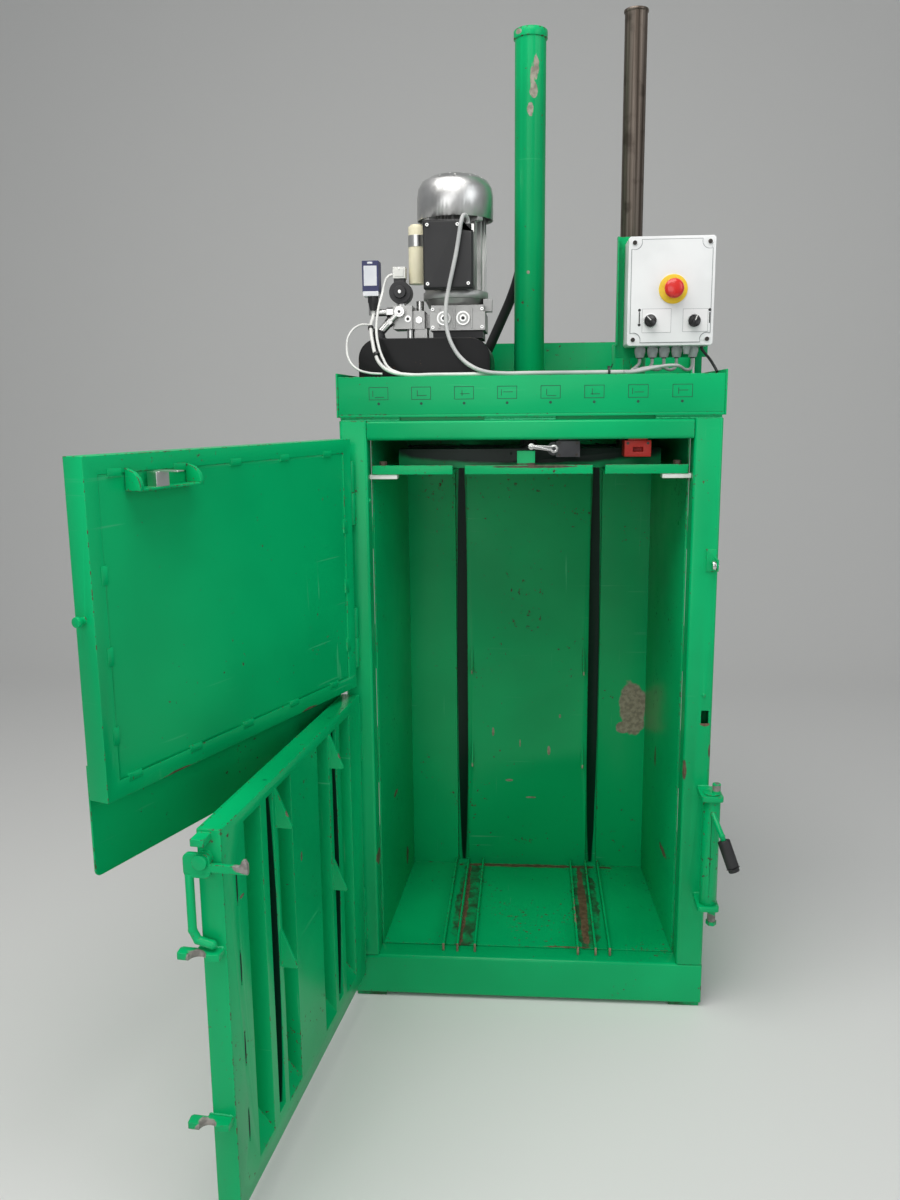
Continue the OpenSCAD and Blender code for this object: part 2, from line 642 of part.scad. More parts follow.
// Lower door: outer sheet, edge frame, hinge halves, claws and latch pivot.
module knuckle(z, h) difference() {
  union() {
    rod_z(z + h + 0.5, z + h + 68, 0, 0, knuckle_d);
    box3([0, -6, z + h + 2], [door_u0 + 2.5, 6, z + h + 66]);
  }
  rod_z(z + h, z + h + 69, 0, 0, pin_d + 2 * run);
}
slots_u = [door_mid - strap_x, door_mid + strap_x];
module lower_door() color(green) at_lower() union() {
  difference() {
    union() {
      box3([door_u0, door_out, lower_z0], [door_u1, door_out + 4, lower_z1]);
      box3([door_u0, door_out, lower_z0], [door_u0 + 3, door_in, lower_z1]);
      box3([door_u1 - 3, door_out, lower_z0], [door_u1, door_in, lower_z1]);
    }
    for (u = slots_u) box3([u - strap_w / 2, door_out - e, 133], [u + strap_w / 2, door_out + 5, 740]);
  }
  for (z = [hinge_z[0][0], hinge_z[1][0]]) knuckle(z, 68);
  for (z = [claw_z0, claw_z1]) translate([0, 0, z]) linear_extrude(claw_t) difference() {
    polygon([[door_u1 - 3, -34], [door_u1 + 6, -34], [door_u1 + 6, -58], [door_u1 + 10, -62],
      [claw_u, -60], [claw_u, -12], [claw_u - 5, 8], [door_u1 - 3, 8]]);
    translate([claw_u, -26.5]) circle(14.5);
  }
  box3([door_u1 - 3, -26, 745], [door_u1 + 28, -4, 757]);
  rod_x(door_u1 - 3, lever_u + lever_t + 1, lever_v, lever_z, 14);
  rod_x(door_u1, lever_u - gap, lever_v, lever_z, 26);
  rod_x(lever_u + lever_t + gap, lever_u + lever_t + 7, lever_v, lever_z, 24);
}

// Inner face of the lower door: folded boxes, open strap slots and four retaining teeth.
recess_out = 292;               // edges of the recesses, from the middle of the door
recess_far = 221;
recess_near = 145;
recess_in = 75;
slot_in = strap_x - strap_w / 2;
slot_out = strap_x + strap_w / 2;
recess = [for (q = [[-recess_out, -recess_far], [-recess_near, -recess_in], [recess_in, recess_near],
  [recess_far, recess_out]]) [door_mid + q[0], door_mid + q[1]]];
hats = [for (q = [[door_u0 + 3 - door_mid, -recess_out], [-recess_far, -slot_out], [-slot_in, -recess_near],
  [-recess_in, recess_in], [recess_near, slot_in], [slot_out, recess_far],
  [recess_out, door_u1 - 3 - door_mid]]) [door_mid + q[0], door_mid + q[1]]];
module lower_panel() color(green) at_lower() union() {
  difference() {
    box3([door_u0 + 3, door_out + 4, lower_z0], [door_u1 - 3, door_in, lower_z1]);
    for (q = recess) prism_x(q[0], q[1])
      polygon([[door_out + 3, 166], [door_in, 120], [door_in + e, 118], [door_in + e, 740], [door_out + 3, 740]]);
    for (u = slots_u) box3([u - strap_w / 2, door_out, 133], [u + strap_w / 2, door_in + e, 740]);
    for (q = hats) box3([q[0] + 3, door_out + 3, 136], [q[1] - 3, door_in - 3, 737]);
    box3([door_u0 + 6, door_out + 3, lower_z0 + 3], [door_u1 - 6, door_in - 3, 116]);
    box3([door_u0 + 6, door_out + 3, 743], [door_u1 - 6, door_in - 3, lower_z1 - 3]);
    for (z = [183, 325, 472, 613]) box3([door_u1 - 52, door_in - 1, z], [door_u1 - 48, door_in + e, z + 62]);
  }
  for (u = [door_mid - tooth_x, door_mid + tooth_x]) for (z = [tooth_z1 - 2, tooth_z2 - 6])
    translate([u, door_in, z]) rotate([90, 0, 90]) tooth();
}

// Latch lever of the lower door: plate, hooked arm and bent round handle.
module latch_lever() color(green) at_lower() union() {
  difference() {
    union() {
      prism_x(lever_u, lever_u + lever_t) union() {
        translate([-46, 688]) rrect(44, 40, 10);
        translate([-10, 699]) square([70, 13]);
        polygon([[46, 705], [60, 705], [60, 716], [56, 723], [52, 723], [47, 712]]);
      }
      bar_between([lever_u + 4, -38, 692], [lever_u + 4, -38, 598], 14);
      bar_between([lever_u + 4, -38, 598], [lever_u + 4, -30, 582], 14);
      bar_between([lever_u + 4, -30, 582], [lever_u + 4, -6, 576], 14);
      for (q = [[-38, 598], [-30, 582], [-6, 576]]) translate([lever_u + 4, q[0], q[1]]) sphere(d = 14.8);
    }
    rod_x(lever_u - 8, lever_u + lever_t + 8, lever_v, lever_z, 14 + 2 * run);
  }
}

// Upper door: outer sheet, boxed edge frame, hinge halves and the edge stud.
module upper_door() color(green) at_upper() union() {
  difference() {
    box3([door_u0, door_out, upper_z0], [door_u1, door_in, upper_z1]);
    box3([door_u0 + 30, door_out + 3, upper_z0 + 30], [door_u1 - 29, door_in + e, upper_z1 - 29]);
    difference() {
      box3([door_u0 + 3, door_out + 3, upper_z0 + 3], [door_u1 - 3, door_in - 3, upper_z1 - 3]);
      box3([door_u0 + 27, door_out, upper_z0 + 27], [door_u1 - 26, door_in + e, upper_z1 - 26]);
    }
  }
  for (q = [hinge_z[2], hinge_z[3]]) knuckle(q[0], q[1]);
  rod_x(door_u1 - 2, door_u1 + 10, -10, 1078, 12);
  rod_x(door_u1 + 10, door_u1 + 17, -10, 1078, 17);
}

// Inner sheet of the upper door, dished along two diagonals, with its weld tabs.
dish = 5;
dish_u0 = door_u0 + 36;
dish_u1 = door_u1 - 35;
dish_uc = (dish_u0 + dish_u1) / 2;
dish_z0 = upper_z0 + 36;
dish_z1 = upper_z1 - 35;
dish_zc = (dish_z0 + dish_z1) / 2;
module upper_sheet() color(green) at_upper() difference() {
  union() {
    box3([door_u0 + 30, 4, upper_z0 + 30], [door_u1 - 29, door_in - 2, upper_z1 - 29]);
    for (u = [90:150:690]) for (z = [upper_z0 + 22, upper_z1 - 33])
      box3([u, door_in, z], [u + 30, door_in + 1.2, z + 12]);
    for (z = [upper_z0 + 90:130:upper_z1 - 90]) for (u = [door_u0 + 22, door_u1 - 33])
      box3([u, door_in, z], [u + 12, door_in + 1.2, z + 30]);
    for (u = [90:150:690]) for (z = [upper_z0 + 30, upper_z1 - 34])
      box3([u, door_in - 3, z], [u + 30, door_in + 1.2, z + 5]);
    for (z = [upper_z0 + 90:130:upper_z1 - 90]) for (u = [door_u0 + 30, door_u1 - 34])
      box3([u, door_in - 3, z], [u + 5, door_in + 1.2, z + 30]);
  }
  intersection() {
    translate([dish_u0, door_in - 2, upper_z0]) rotate([0, 0, -atan(dish / (dish_uc - dish_u0))])
      cube([800, 60, 560]);
    translate([dish_u1, door_in - 2, upper_z0]) rotate([0, 0, atan(dish / (dish_uc - dish_u0))])
      translate([-800, 0, 0]) cube([800, 60, 560]);
    translate([door_u0, door_in - 2, dish_z0]) rotate([atan(dish / (dish_zc - dish_z0)), 0, 0])
      cube([760, 60, 600]);
    translate([door_u0, door_in - 2, dish_z1]) rotate([-atan(dish / (dish_zc - dish_z0)), 0, 0])
      translate([0, 0, -600]) cube([760, 60, 600]);
  }
}

// Sheet flap that hangs from the upper door over the outside of the lower door.
module upper_flap() color(green) at_upper() union() {
  prism_y(-33, -29.5) difference() {
    translate([door_u0, 646]) rrect(door_u1 - 2 - door_u0, 204, 12);
    translate([door_u0 - e, 838]) square([door_u1, 20]);
  }
  box3([door_u0, -29.5, upper_z0 + 6], [door_u1 - 2, door_out, 838]);
}

// Carrier of the safety key: two curved cheeks, a bottom plate and the key.
module key_bracket() color(green) at_upper() union() {
  for (u = [145, 288]) prism_x(door_mid + u, door_mid + u + 8)
    polygon([[door_in, key_z - 29], [42, key_z - 29], [44, key_z - 21], [40, key_z - 9],
      [30, key_z + 1], [door_in, key_z + 7]]);
  translate([door_mid, 0, key_z]) {
    box3([153, door_in, -29], [288, 42, -25]);
    box3([221, 16, -25], [251, 36, -1.5]);
    box3([228, 22, -1.5], [244, 74, 1]);
  }
}

// Lock shaft: tube between the lugs, eccentric pins, washer, nut and handle bar.
module lock_shaft() color(green) union() {
  rod_z(lug_z0 + lug_t + gap, lug_z1 - gap, lock_x, lock_y, lock_tube_d);
  rod_z(lug_z0 - gap, lug_z1 + lug_t + gap, lock_x, lock_y, journal_d);
  rod_z(lug_z1 + lug_t + gap, lug_z1 + lug_t + 2.4, lock_x, lock_y, lock_tube_d - 1);
  rod_z(lug_z0 - 2.4, lug_z0 - gap, lock_x, lock_y, lock_tube_d - 1);
  translate([lock_x, lock_y, 0]) rotate([0, 0, -10]) translate([lock_offset, 0, 0]) {
    rod_z(lug_z1 + lug_t + 1, 574, 0, 0, lock_pin_d);
    rod_z(238, lug_z0 - 1, 0, 0, lock_pin_d);
    hex_z(238, 10, 0, 0, 24);
  }
  bar_between([lock_x - 2, lock_y - 8, 516], [423, -100, 474], 12);
  translate([423, -100, 474]) sphere(d = 13.5);
  bar_between([423, -100, 474], [447, -119, 406], 12);
}

// Black hand grip on the lock handle.
module lock_grip() color(dark) difference() {
  union() {
    bar_between([426, -102.4, 465.5], [446, -118.2, 408.8], 27);
    bar_between([446, -118.2, 408.8], [449, -120.6, 400.3], 24);
  }
  bar_between([423, -100, 474], [447, -119, 406], 12);
}

// Pressing plate: three sections with strap gaps, front and back lips, cross channels and trip block.
side_x = [ix - 7, ix - 10, ix - wall_taper - 4];
gap_in = tooth_x - 13.5;
gap_out = tooth_x + 13.5;
module platen() color(green) union() {
  for (s = [-1, 1]) {
    translate([0, 0, platen_z]) linear_extrude(platen_t) polygon([[s * gap_out, 20], [s * side_x[0], 20],
      [s * side_x[0], 58], [s * side_x[1], 60], [s * side_x[2], back_y - 6], [s * gap_out, back_y - 6]]);
    box3([s > 0 ? gap_out : -side_x[0], 20, platen_z], [s > 0 ? side_x[0] : -gap_out, 24, platen_top]);
    box3([s > 0 ? gap_out : -side_x[2], back_y - 10, platen_z],
      [s > 0 ? side_x[2] : -gap_out, back_y - 6, platen_top]);
    hex_z(platen_z + platen_t, 22, s * (ix - 29), 42, 18);
    hex_z(platen_z + platen_t, 22, s * (ix - 50), 468, 18);
  }
  box3([-gap_in, 20, platen_z], [gap_in, back_y - 6, platen_z + platen_t]);
  box3([-gap_in, 20, platen_z], [gap_in, 24, platen_top]);
  box3([-gap_in, back_y - 10, platen_z], [gap_in, back_y - 6, platen_top]);
  for (y = [150, 330]) difference() {
    box3([50 - ix, y, platen_z + platen_t], [ix - 50, y + 50, bridge_top]);
    box3([50 - ix - e, y + 4, platen_z + platen_t - e], [ix - 50 + e, y + 46, bridge_top - 4]);
  }
  difference() {
    box3([-60, 200, platen_z + platen_t], [60, 330, bridge_top]);
    rod_z(platen_top, bridge_top + e, 0, press_y, rod_d);
  }
  box3([200, 200, platen_z + platen_t], [264, 330, platen_top - 2]);
  box3([-25, 26, platen_z + platen_t], [14, 50, bridge_top]);
}

// Nylon slide blocks at the four corners of the pressing plate.
module slide_pads() color([0.93, 0.93, 0.9]) union() {
  for (s = [-1, 1]) {
    box3([s > 0 ? ix - 62 : 0.5 - ix, 22, platen_z - 10], [s > 0 ? ix - 0.5 : 62 - ix, 58, platen_z]);
    box3([s > 0 ? ix - 80 : wall_taper + 2.5 - ix, 440, platen_z - 10],
      [s > 0 ? ix - wall_taper - 2.5 : 80 - ix, 500, platen_z]);
  }
}

// Piston and its rod.
module piston_rod() color(alu) union() {
  rod_z(platen_top, piston_top - piston_h, 0, press_y, rod_d);
  rod_z(piston_top - piston_h, piston_top, 0, press_y, bore_d - 2 * run);
}

// Plain guide rod with a cap on top.
module guide_rod() color([0.42, 0.36, 0.32]) union() {
  rod_z(platen_top - 2, barrel_top + 50, guide_x, press_y, guide_d);
  rod_z(barrel_top + 47, barrel_top + 53, guide_x, press_y, guide_d + 4);
}

// Roller lever of the limit switch.
module limit_lever() color(alu) difference() {
  union() {
    prism_y(sw_y - 4, sw_y) union() {
      translate([55, sw_z]) circle(9);
      translate([6, sw_z + 5]) circle(5);
      polygon([[6, sw_z + 1], [55, sw_z - 6], [55, sw_z + 6], [6, sw_z + 9]]);
    }
    rod_y(sw_y - 5, sw_y + 14, 6, sw_z + 5, 5);
    rod_y(sw_y + 2, sw_y + 12, 6, sw_z + 5, 14);
  }
  rod_y(sw_y - 7, sw_y + 1, 55, sw_z, 7 + 2 * run);
}

// Red mushroom head of the emergency stop with its stem.
module estop_button() color([0.85, 0.1, 0.08]) on_deck() union() {
  translate([stop_x, box_y - 14, stop_z]) rotate([90, 0, 0]) rotate_extrude()
    polygon([[0, 0], [stop_d / 2 - 1, 0], [stop_d / 2, 2], [stop_d / 2, 8], [stop_d / 2 - 2, 11],
      [stop_d / 2 - 7, 13.5], [0, 14.5]]);
  rod_y(box_y - 15, box_y + 16, stop_x, stop_z, 22);
}

// Selector knobs with a raised grip bar.
module knob(q, a) translate([q[0], box_y - 4.3, q[1]]) rotate([90, 0, 0]) rotate([0, 0, a]) union() {
  cylinder(d = knob_d, h = 6);
  difference() {
    translate([0, 0, 6]) cylinder(d = knob_d - 2, h = 10);
    for (s = [-1, 1]) translate([s * 14 - 10, -20, 6.01]) cube([20, 40, 12]);
  }
  translate([0, 0, -16]) cylinder(d = 14, h = 17);
}
module knob_left() color(dark) on_deck() knob(knobs[0], 45);
module knob_right() color(dark) on_deck() knob(knobs[1], -20);

// Motor rotor with its shaft and cooling fan.
module motor_rotor() color(alu) on_deck() union() {
  rod_z(225, 462, motor_x, motor_y, 22);
  rod_z(290, 405, motor_x, motor_y, 84);
  rod_z(442, 448, motor_x, motor_y, 140);
  for (a = [0:45:315]) translate([motor_x, motor_y, 448]) rotate([0, 0, a])
    translate([16, -1.5, 0]) cube([52, 3, 16]);
}

// Steel roller of the upper door catch.
module catch_roller() color(alu) union() {
  rod_x(hw - 16.5, hw - 8.3, -20, 1056, 20);
  rod_x(hw - 8.4, hw - 1, -20, 1056, 6 - 2 * run);
}

sill();
post_left();
post_right();
head_beam();
side_wall_left();
side_wall_right();
back_wall();
rear_posts();
back_rails();
base_frame();
floor_plate();
floor_bars();
deck_plate();
front_apron();
rear_plate();
end_plates();
press_cylinder();
cylinder_flange();
guide_sleeve();
tank();
filler_cap();
pump_block();
motor();
motor_cowl();
terminal_box();
capacitor();
manifold();
solenoid();
relief_valve();
pressure_switch();
control_bracket();
control_box();
control_cover();
glands();
estop_ring();
limit_switch();
interlock_switch();
motor_cable();
signal_cables();
gland_cables();
pressure_hose();
lower_door();
lower_panel();
latch_lever();
upper_door();
upper_sheet();
upper_flap();
key_bracket();
lock_shaft();
lock_grip();
platen();
slide_pads();
piston_rod();
guide_rod();
limit_lever();
estop_button();
knob_left();
knob_right();
motor_rotor();
catch_roller();
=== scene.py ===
import math
import bpy
import bmesh
from mathutils import Matrix, Vector


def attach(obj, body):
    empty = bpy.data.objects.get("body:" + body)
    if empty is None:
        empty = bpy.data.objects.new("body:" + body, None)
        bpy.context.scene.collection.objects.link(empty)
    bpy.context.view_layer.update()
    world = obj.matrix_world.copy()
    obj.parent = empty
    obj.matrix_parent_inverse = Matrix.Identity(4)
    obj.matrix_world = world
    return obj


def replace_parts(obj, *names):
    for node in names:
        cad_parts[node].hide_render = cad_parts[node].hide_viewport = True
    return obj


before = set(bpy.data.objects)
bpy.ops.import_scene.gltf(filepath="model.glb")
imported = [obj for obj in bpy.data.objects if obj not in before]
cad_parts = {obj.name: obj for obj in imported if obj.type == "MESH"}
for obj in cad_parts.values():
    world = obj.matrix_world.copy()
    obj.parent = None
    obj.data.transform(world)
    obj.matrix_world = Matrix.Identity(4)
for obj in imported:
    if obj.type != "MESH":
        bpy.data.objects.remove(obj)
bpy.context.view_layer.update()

scene = bpy.context.scene

# --- Camera, soft light and floor
# The view stands two metres in front of the loading side at eye height, turned a little to the
# left and tipped down. Pale studio floor, one broad lamp overhead, one beside it, one fill in front.
eye, focal_mm, sensor_mm, far_clip = (0.0012, -2.2168, 1.4022), 30.6, 36, 60
look_down, look_left, tilt = (math.radians(angle) for angle in (10.897, 4.475, -0.559))


def placed(name, data):
    """A new object of the scene for a mesh, a curve, a lamp or a camera."""
    holder = bpy.data.objects.new(name, data)
    scene.collection.objects.link(holder)
    return holder


def lamp(name, at, towards, size, power, tint=(1, 1, 1)):
    light = bpy.data.lights.new(name, "AREA")
    light.shape, light.size, light.size_y = "RECTANGLE", *size
    light.energy, light.color = power, tint
    holder = placed(name, light)
    holder.location = at
    holder.rotation_mode = "QUATERNION"
    holder.rotation_quaternion = (Vector(towards) - Vector(at)).to_track_quat("-Z", "Y")


def new_material(name):
    mat = bpy.data.materials.new(name)
    mat.use_nodes = True
    return mat, mat.node_tree, mat.node_tree.nodes["Principled BSDF"]


ahead = Vector((-math.sin(look_left) * math.cos(look_down), math.cos(look_left) * math.cos(look_down),
                -math.sin(look_down)))
level = Vector((math.cos(look_left), math.sin(look_left), 0))
above = level.cross(ahead)
cam_right = math.cos(tilt) * level + math.sin(tilt) * above
cam_up = -math.sin(tilt) * level + math.cos(tilt) * above
place = Matrix((cam_right, cam_up, -ahead)).transposed().to_4x4()
place.translation = eye
lens = bpy.data.cameras.new("view")
lens.lens, lens.sensor_width, lens.clip_end = focal_mm, sensor_mm, far_clip
camera = placed("view", lens)
camera.matrix_world = place
scene.camera = camera
lamp("ceiling_panel", (-0.6, -1.3, 3.9), (0, 0.1, 0.9), (3.2, 2.2), 98, (1, 0.985, 0.96))
lamp("window_side", (3.0, -2.2, 2.6), (0, 0, 1.1), (1.8, 2.2), 28, (0.95, 0.98, 1))
lamp("front_fill", (-0.9, -3.4, 1.7), (0, 0.3, 0.8), (2.4, 2.0), 26)
world = bpy.data.worlds.new("room_light")
world.use_nodes = True
sky = world.node_tree.nodes["Background"].inputs
sky["Color"].default_value, sky["Strength"].default_value = (0.86, 0.88, 0.9, 1), 0.30
scene.world = world
scene.view_settings.view_transform = "Standard"
floor_front, bend_start, bend_radius, wall_top, half_across = -8, 2.8, 1.6, 7, 9
sweep = [(floor_front, 0), (bend_start, 0)]
for t in range(6, 91, 6):
    sweep.append((bend_start + bend_radius * math.sin(math.radians(t)),
                  bend_radius - bend_radius * math.cos(math.radians(t))))
sweep.append((bend_start + bend_radius, wall_top))
floor_mesh = bpy.data.meshes.new("studio_floor")
floor_mesh.from_pydata([(x, y, z) for y, z in sweep for x in (-half_across, half_across)], [],
                       [(2 * i, 2 * i + 1, 2 * i + 3, 2 * i + 2) for i in range(len(sweep) - 1)])
floor_mesh.polygons.foreach_set("use_smooth", [True] * len(floor_mesh.polygons))
studio_floor = placed("studio_floor", floor_mesh)
floor_mat, _, floor_shader = new_material("pale_floor")
floor_shader.inputs["Base Color"].default_value = (0.74, 0.74, 0.73, 1)
floor_shader.inputs["Roughness"].default_value = 0.75
floor_mesh.materials.append(floor_mat)

# --- Leads and the pressure hose
# Soft grey sheathed leads run from the motor, the coil and the pressure switch along the top of the
# apron to the glands. One thick black rubber hose climbs behind the barrel to its cap.
along_apron = 1464.2


def fed(tree, made, sockets):
    """Fills inputs of a node, by name or number, with constants, sockets, or the first output of a node."""
    for key, value in dict(sockets).items():
        if isinstance(value, bpy.types.Node):
            value = value.outputs[0]
        if isinstance(value, bpy.types.NodeSocket):
            tree.links.new(value, made.inputs[key])
        else:
            made.inputs[key].default_value = value
    return made


def added(tree, kind, sockets=(), **settings):
    """A new node with its own settings, its inputs filled."""
    made = tree.nodes.new(kind)
    for key, value in settings.items():
        setattr(made, key, value)
    return fed(tree, made, sockets)


def new_group(name, kind, takes, gives):
    """A node group with named inputs (name, kind of socket, value if any) and outputs (name, kind of socket)."""
    tree = bpy.data.node_groups.new(name, kind + "NodeTree")
    for way, rows in (("INPUT", takes), ("OUTPUT", gives)):
        for label, sort, *value in rows:
            socket = tree.interface.new_socket(label, in_out=way, socket_type="NodeSocket" + sort)
            if value:
                socket.default_value = value[0]
    return tree, added(tree, "NodeGroupInput").outputs


def own_place(tree):
    return added(tree, "ShaderNodeTexCoord").outputs["Object"]


def noise(tree, vector, size, detail, rough=0.5):
    return added(tree, "ShaderNodeTexNoise",
                 {"Vector": vector, "Scale": size, "Detail": detail, "Roughness": rough}).outputs["Fac"]


def grain_group():
    """Fine moulded or cast grain: gives a height and a slow change of tone."""
    tree, take = new_group("fine_grain", "Shader", [("Size", "Float", 300), ("Drift Size", "Float", 6)],
                           [("Height", "Float"), ("Drift", "Float")])
    where = own_place(tree)
    added(tree, "NodeGroupOutput", {"Height": noise(tree, where, take["Size"], 2),
                                    "Drift": noise(tree, where, take["Drift Size"], 4)})
    return tree


fine_grain = grain_group()


def colour_mix(tree, fac, a, b):
    """Mixes two colours, each one three numbers or a socket; fac is a socket or a number."""
    a, b = (c if isinstance(c, bpy.types.NodeSocket) else (*c, 1) for c in (a, b))
    return added(tree, "ShaderNodeMix", {0: fac, 6: a, 7: b}, data_type="RGBA").outputs[2]


def spread(tree, value, low, high, to_low=0.0, to_high=1.0):
    """Maps a value from one range to another, smoothly and clamped."""
    ends = {"Value": value, "From Min": low, "From Max": high, "To Min": to_low, "To Max": to_high}
    return added(tree, "ShaderNodeMapRange", ends, interpolation_type="SMOOTHSTEP").outputs["Result"]


def raised(tree, height, strength, distance):
    bump = {"Strength": strength, "Distance": distance, "Height": height}
    return added(tree, "ShaderNodeBump", bump).outputs["Normal"]


def moulded(name, dark, light, rough=(0.4, 0.6), grain=600, bump=0.25, metallic=0.0, coat=0.0):
    """Plastic, rubber or cast metal: two close tones, a roughness that drifts, and a fine grain."""
    mat, tree, shader = new_material(name)
    g = added(tree, "ShaderNodeGroup", {"Size": grain, "Drift Size": 9}, node_tree=fine_grain).outputs
    fed(tree, shader, {
        "Base Color": colour_mix(tree, spread(tree, g["Drift"], 0.35, 0.65), dark, light),
        "Roughness": spread(tree, g["Drift"], 0.3, 0.7, *rough), "Metallic": metallic,
        "Normal": raised(tree, g["Height"], bump, 0.0006), "Coat Weight": coat})
    return mat


def plain_mesh(name, source, mats=()):
    """The evaluated shape of an object or curve as a plain mesh object with its place in its mesh."""
    source_eval = source.evaluated_get(bpy.context.evaluated_depsgraph_get())
    mesh = bpy.data.meshes.new_from_object(source_eval)
    mesh.transform(source.matrix_world)
    bpy.data.objects.remove(source)
    if mats:
        mesh.materials.clear()
        for m in mats:
            mesh.materials.append(m)
    return placed(name, mesh)


def lead(name, routes, mat, sides=4):
    """One or more round cords, each a smooth curve through its points, with its diameter, in millimetres."""
    curve = bpy.data.curves.new(name, "CURVE")
    curve.dimensions, curve.bevel_depth, curve.bevel_resolution = "3D", 1.0, sides
    curve.use_fill_caps, curve.resolution_u = True, 8
    for points, across in routes:
        line = curve.splines.new("BEZIER")
        line.bezier_points.add(len(points) - 1)
        for knot, p in zip(line.bezier_points, points):
            knot.co = Vector(p) / 1000
            knot.handle_left_type = knot.handle_right_type = "AUTO"
            knot.radius = across / 2000
    holder = placed(name + "_line", curve)
    bpy.context.view_layer.update()
    piece = plain_mesh(name, holder, [mat])
    piece.data.polygons.foreach_set("use_smooth", [True] * len(piece.data.polygons))
    return piece


grey_sheath = moulded("grey_sheath", (0.42, 0.43, 0.43), (0.56, 0.56, 0.55), (0.45, 0.6), 900, 0.15)
white_sheath = moulded("white_sheath", (0.62, 0.62, 0.60), (0.78, 0.78, 0.75), (0.4, 0.55), 900, 0.12)
hose_rubber = moulded("hose_rubber", (0.012, 0.012, 0.013), (0.03, 0.03, 0.031), (0.5, 0.7), 500, 0.4)
motor_route = [
    (-134, 116, 1786.3), (-134, 116, 1792), (-136.5, 108, 1800), (-142, 96, 1801), (-147, 84, 1786),
    (-151, 82, 1762), (-158, 81, 1722), (-167, 80, 1682), (-176, 79, 1642), (-181, 77, 1610), (-181, 74, 1580),
    (-176, 68, 1550), (-164, 58, 1522), (-146, 46, 1498), (-122, 34, 1480), (-94, 25, 1469), (-60, 20, 1465)]
motor_route += [(x, 18 if x < 100 else 20, 1464.6) for x in (0, 60, 120, 180, 200)]
signal_route = [
    (-350, 143, 1609.7), (-350, 143, 1603), (-351, 136, 1592), (-353, 118, 1576), (-350, 100, 1558), (-345, 84, 1538),
    (-336, 62, 1510), (-322, 44, 1487), (-300, 32, 1472), (-268, 28, 1465)]
signal_route += [(x, y, along_apron) for x, y in (
    (-200, 30), (-110, 33.5), (-60, 32), (0, 30), (110, 30), (180, 31), (200, 31))]
coil_route = [
    (-306.3, 163, 1688), (-311, 163, 1688), (-319, 159, 1683), (-325, 148, 1667), (-328, 130, 1642),
    (-333, 112, 1616), (-336, 99, 1588), (-336, 86, 1560), (-330, 70, 1530), (-319, 55, 1502), (-302, 40, 1478),
    (-280, 36, 1468)]
loop_route = [
    (-354, 114, 1576), (-374, 106, 1576), (-396, 88, 1556), (-401, 74, 1526), (-394, 62, 1498), (-376, 50, 1479),
    (-350, 40, 1470), (-318, 36, 1467)]
motor_lead = lead("motor_lead", [(motor_route, 9)], grey_sheath)
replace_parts(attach(motor_lead, "frame"), "motor_cable")
signal_leads = lead("signal_leads", [(signal_route, 8), (coil_route, 6), (loop_route, 5)], white_sheath)
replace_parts(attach(signal_leads, "frame"), "signal_cables")
gland_x, gland_y, box_under = (240, 267, 292, 319, 353), 88, 1519
tails = []
for i, x in enumerate(gland_x):
    tail = [(x, gland_y, box_under - 23), (x - 1, gland_y, box_under - 35 - 2 * i),
            (x - 12, 86 - 3 * i, box_under - 46 - i), (max(x - 40, 226), 78 - 8 * i, 1470 + 2 * i),
            (216, 44 - 5 * i, 1464 + 2 * (i % 2)), (200.4, 36 - 4.5 * i, 1464 + 1.6 * (i % 2))]
    tails.append((tail, 7))
gland_leads = lead("gland_leads", tails, grey_sheath)
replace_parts(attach(gland_leads, "frame"), "gland_cables")
switch_route = [(372, gland_y, box_under - 0.3), (372, gland_y, 1515), (378, 88, 1506), (388, 82, 1493),
                (396, 70, 1478), (402, 58, 1464)]
switch_lead = lead("switch_lead", [(switch_route, 6)], hose_rubber)
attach(switch_lead, "frame")
hose_route = [
    (-119.6, 425, 1497.2), (-117.5, 425, 1501.7), (-98.5, 424, 1543), (-68, 418, 1608), (-44, 404, 1660),
    (-26, 384, 1712), (-13, 362, 1768), (-5, 341, 1826), (-1, 326, 1886), (0, 317, 1950), (0, 315, 2020),
    (0, 315, 2110)]
hose = lead("rubber_hose", [(hose_route, 24)], hose_rubber, 8)
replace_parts(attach(hose, "frame"), "pressure_hose")


def mesh_of(name, work):
    """A mesh with the contents of a bmesh, which is freed."""
    mesh = bpy.data.meshes.new(name)
    work.to_mesh(mesh)
    work.free()
    return mesh


def softened(name, mesh, width, steps, limit=35, **more):
    """The mesh as a piece whose sharp edges, of over limit degrees, are eased by width millimetres."""
    raw = placed(name + "_raw", mesh)
    if width:
        ease = raw.modifiers.new("eased_edges", "BEVEL")
        settings = {"width": width / 1000, "segments": steps, "limit_method": "ANGLE",
                    "angle_limit": math.radians(limit), "harden_normals": True, **more}
        for key, value in settings.items():
            setattr(ease, key, value)
    bpy.context.view_layer.update()
    piece = plain_mesh(name, raw)
    if not width:
        piece.data.set_sharp_from_angle(angle=math.radians(limit))
    return piece


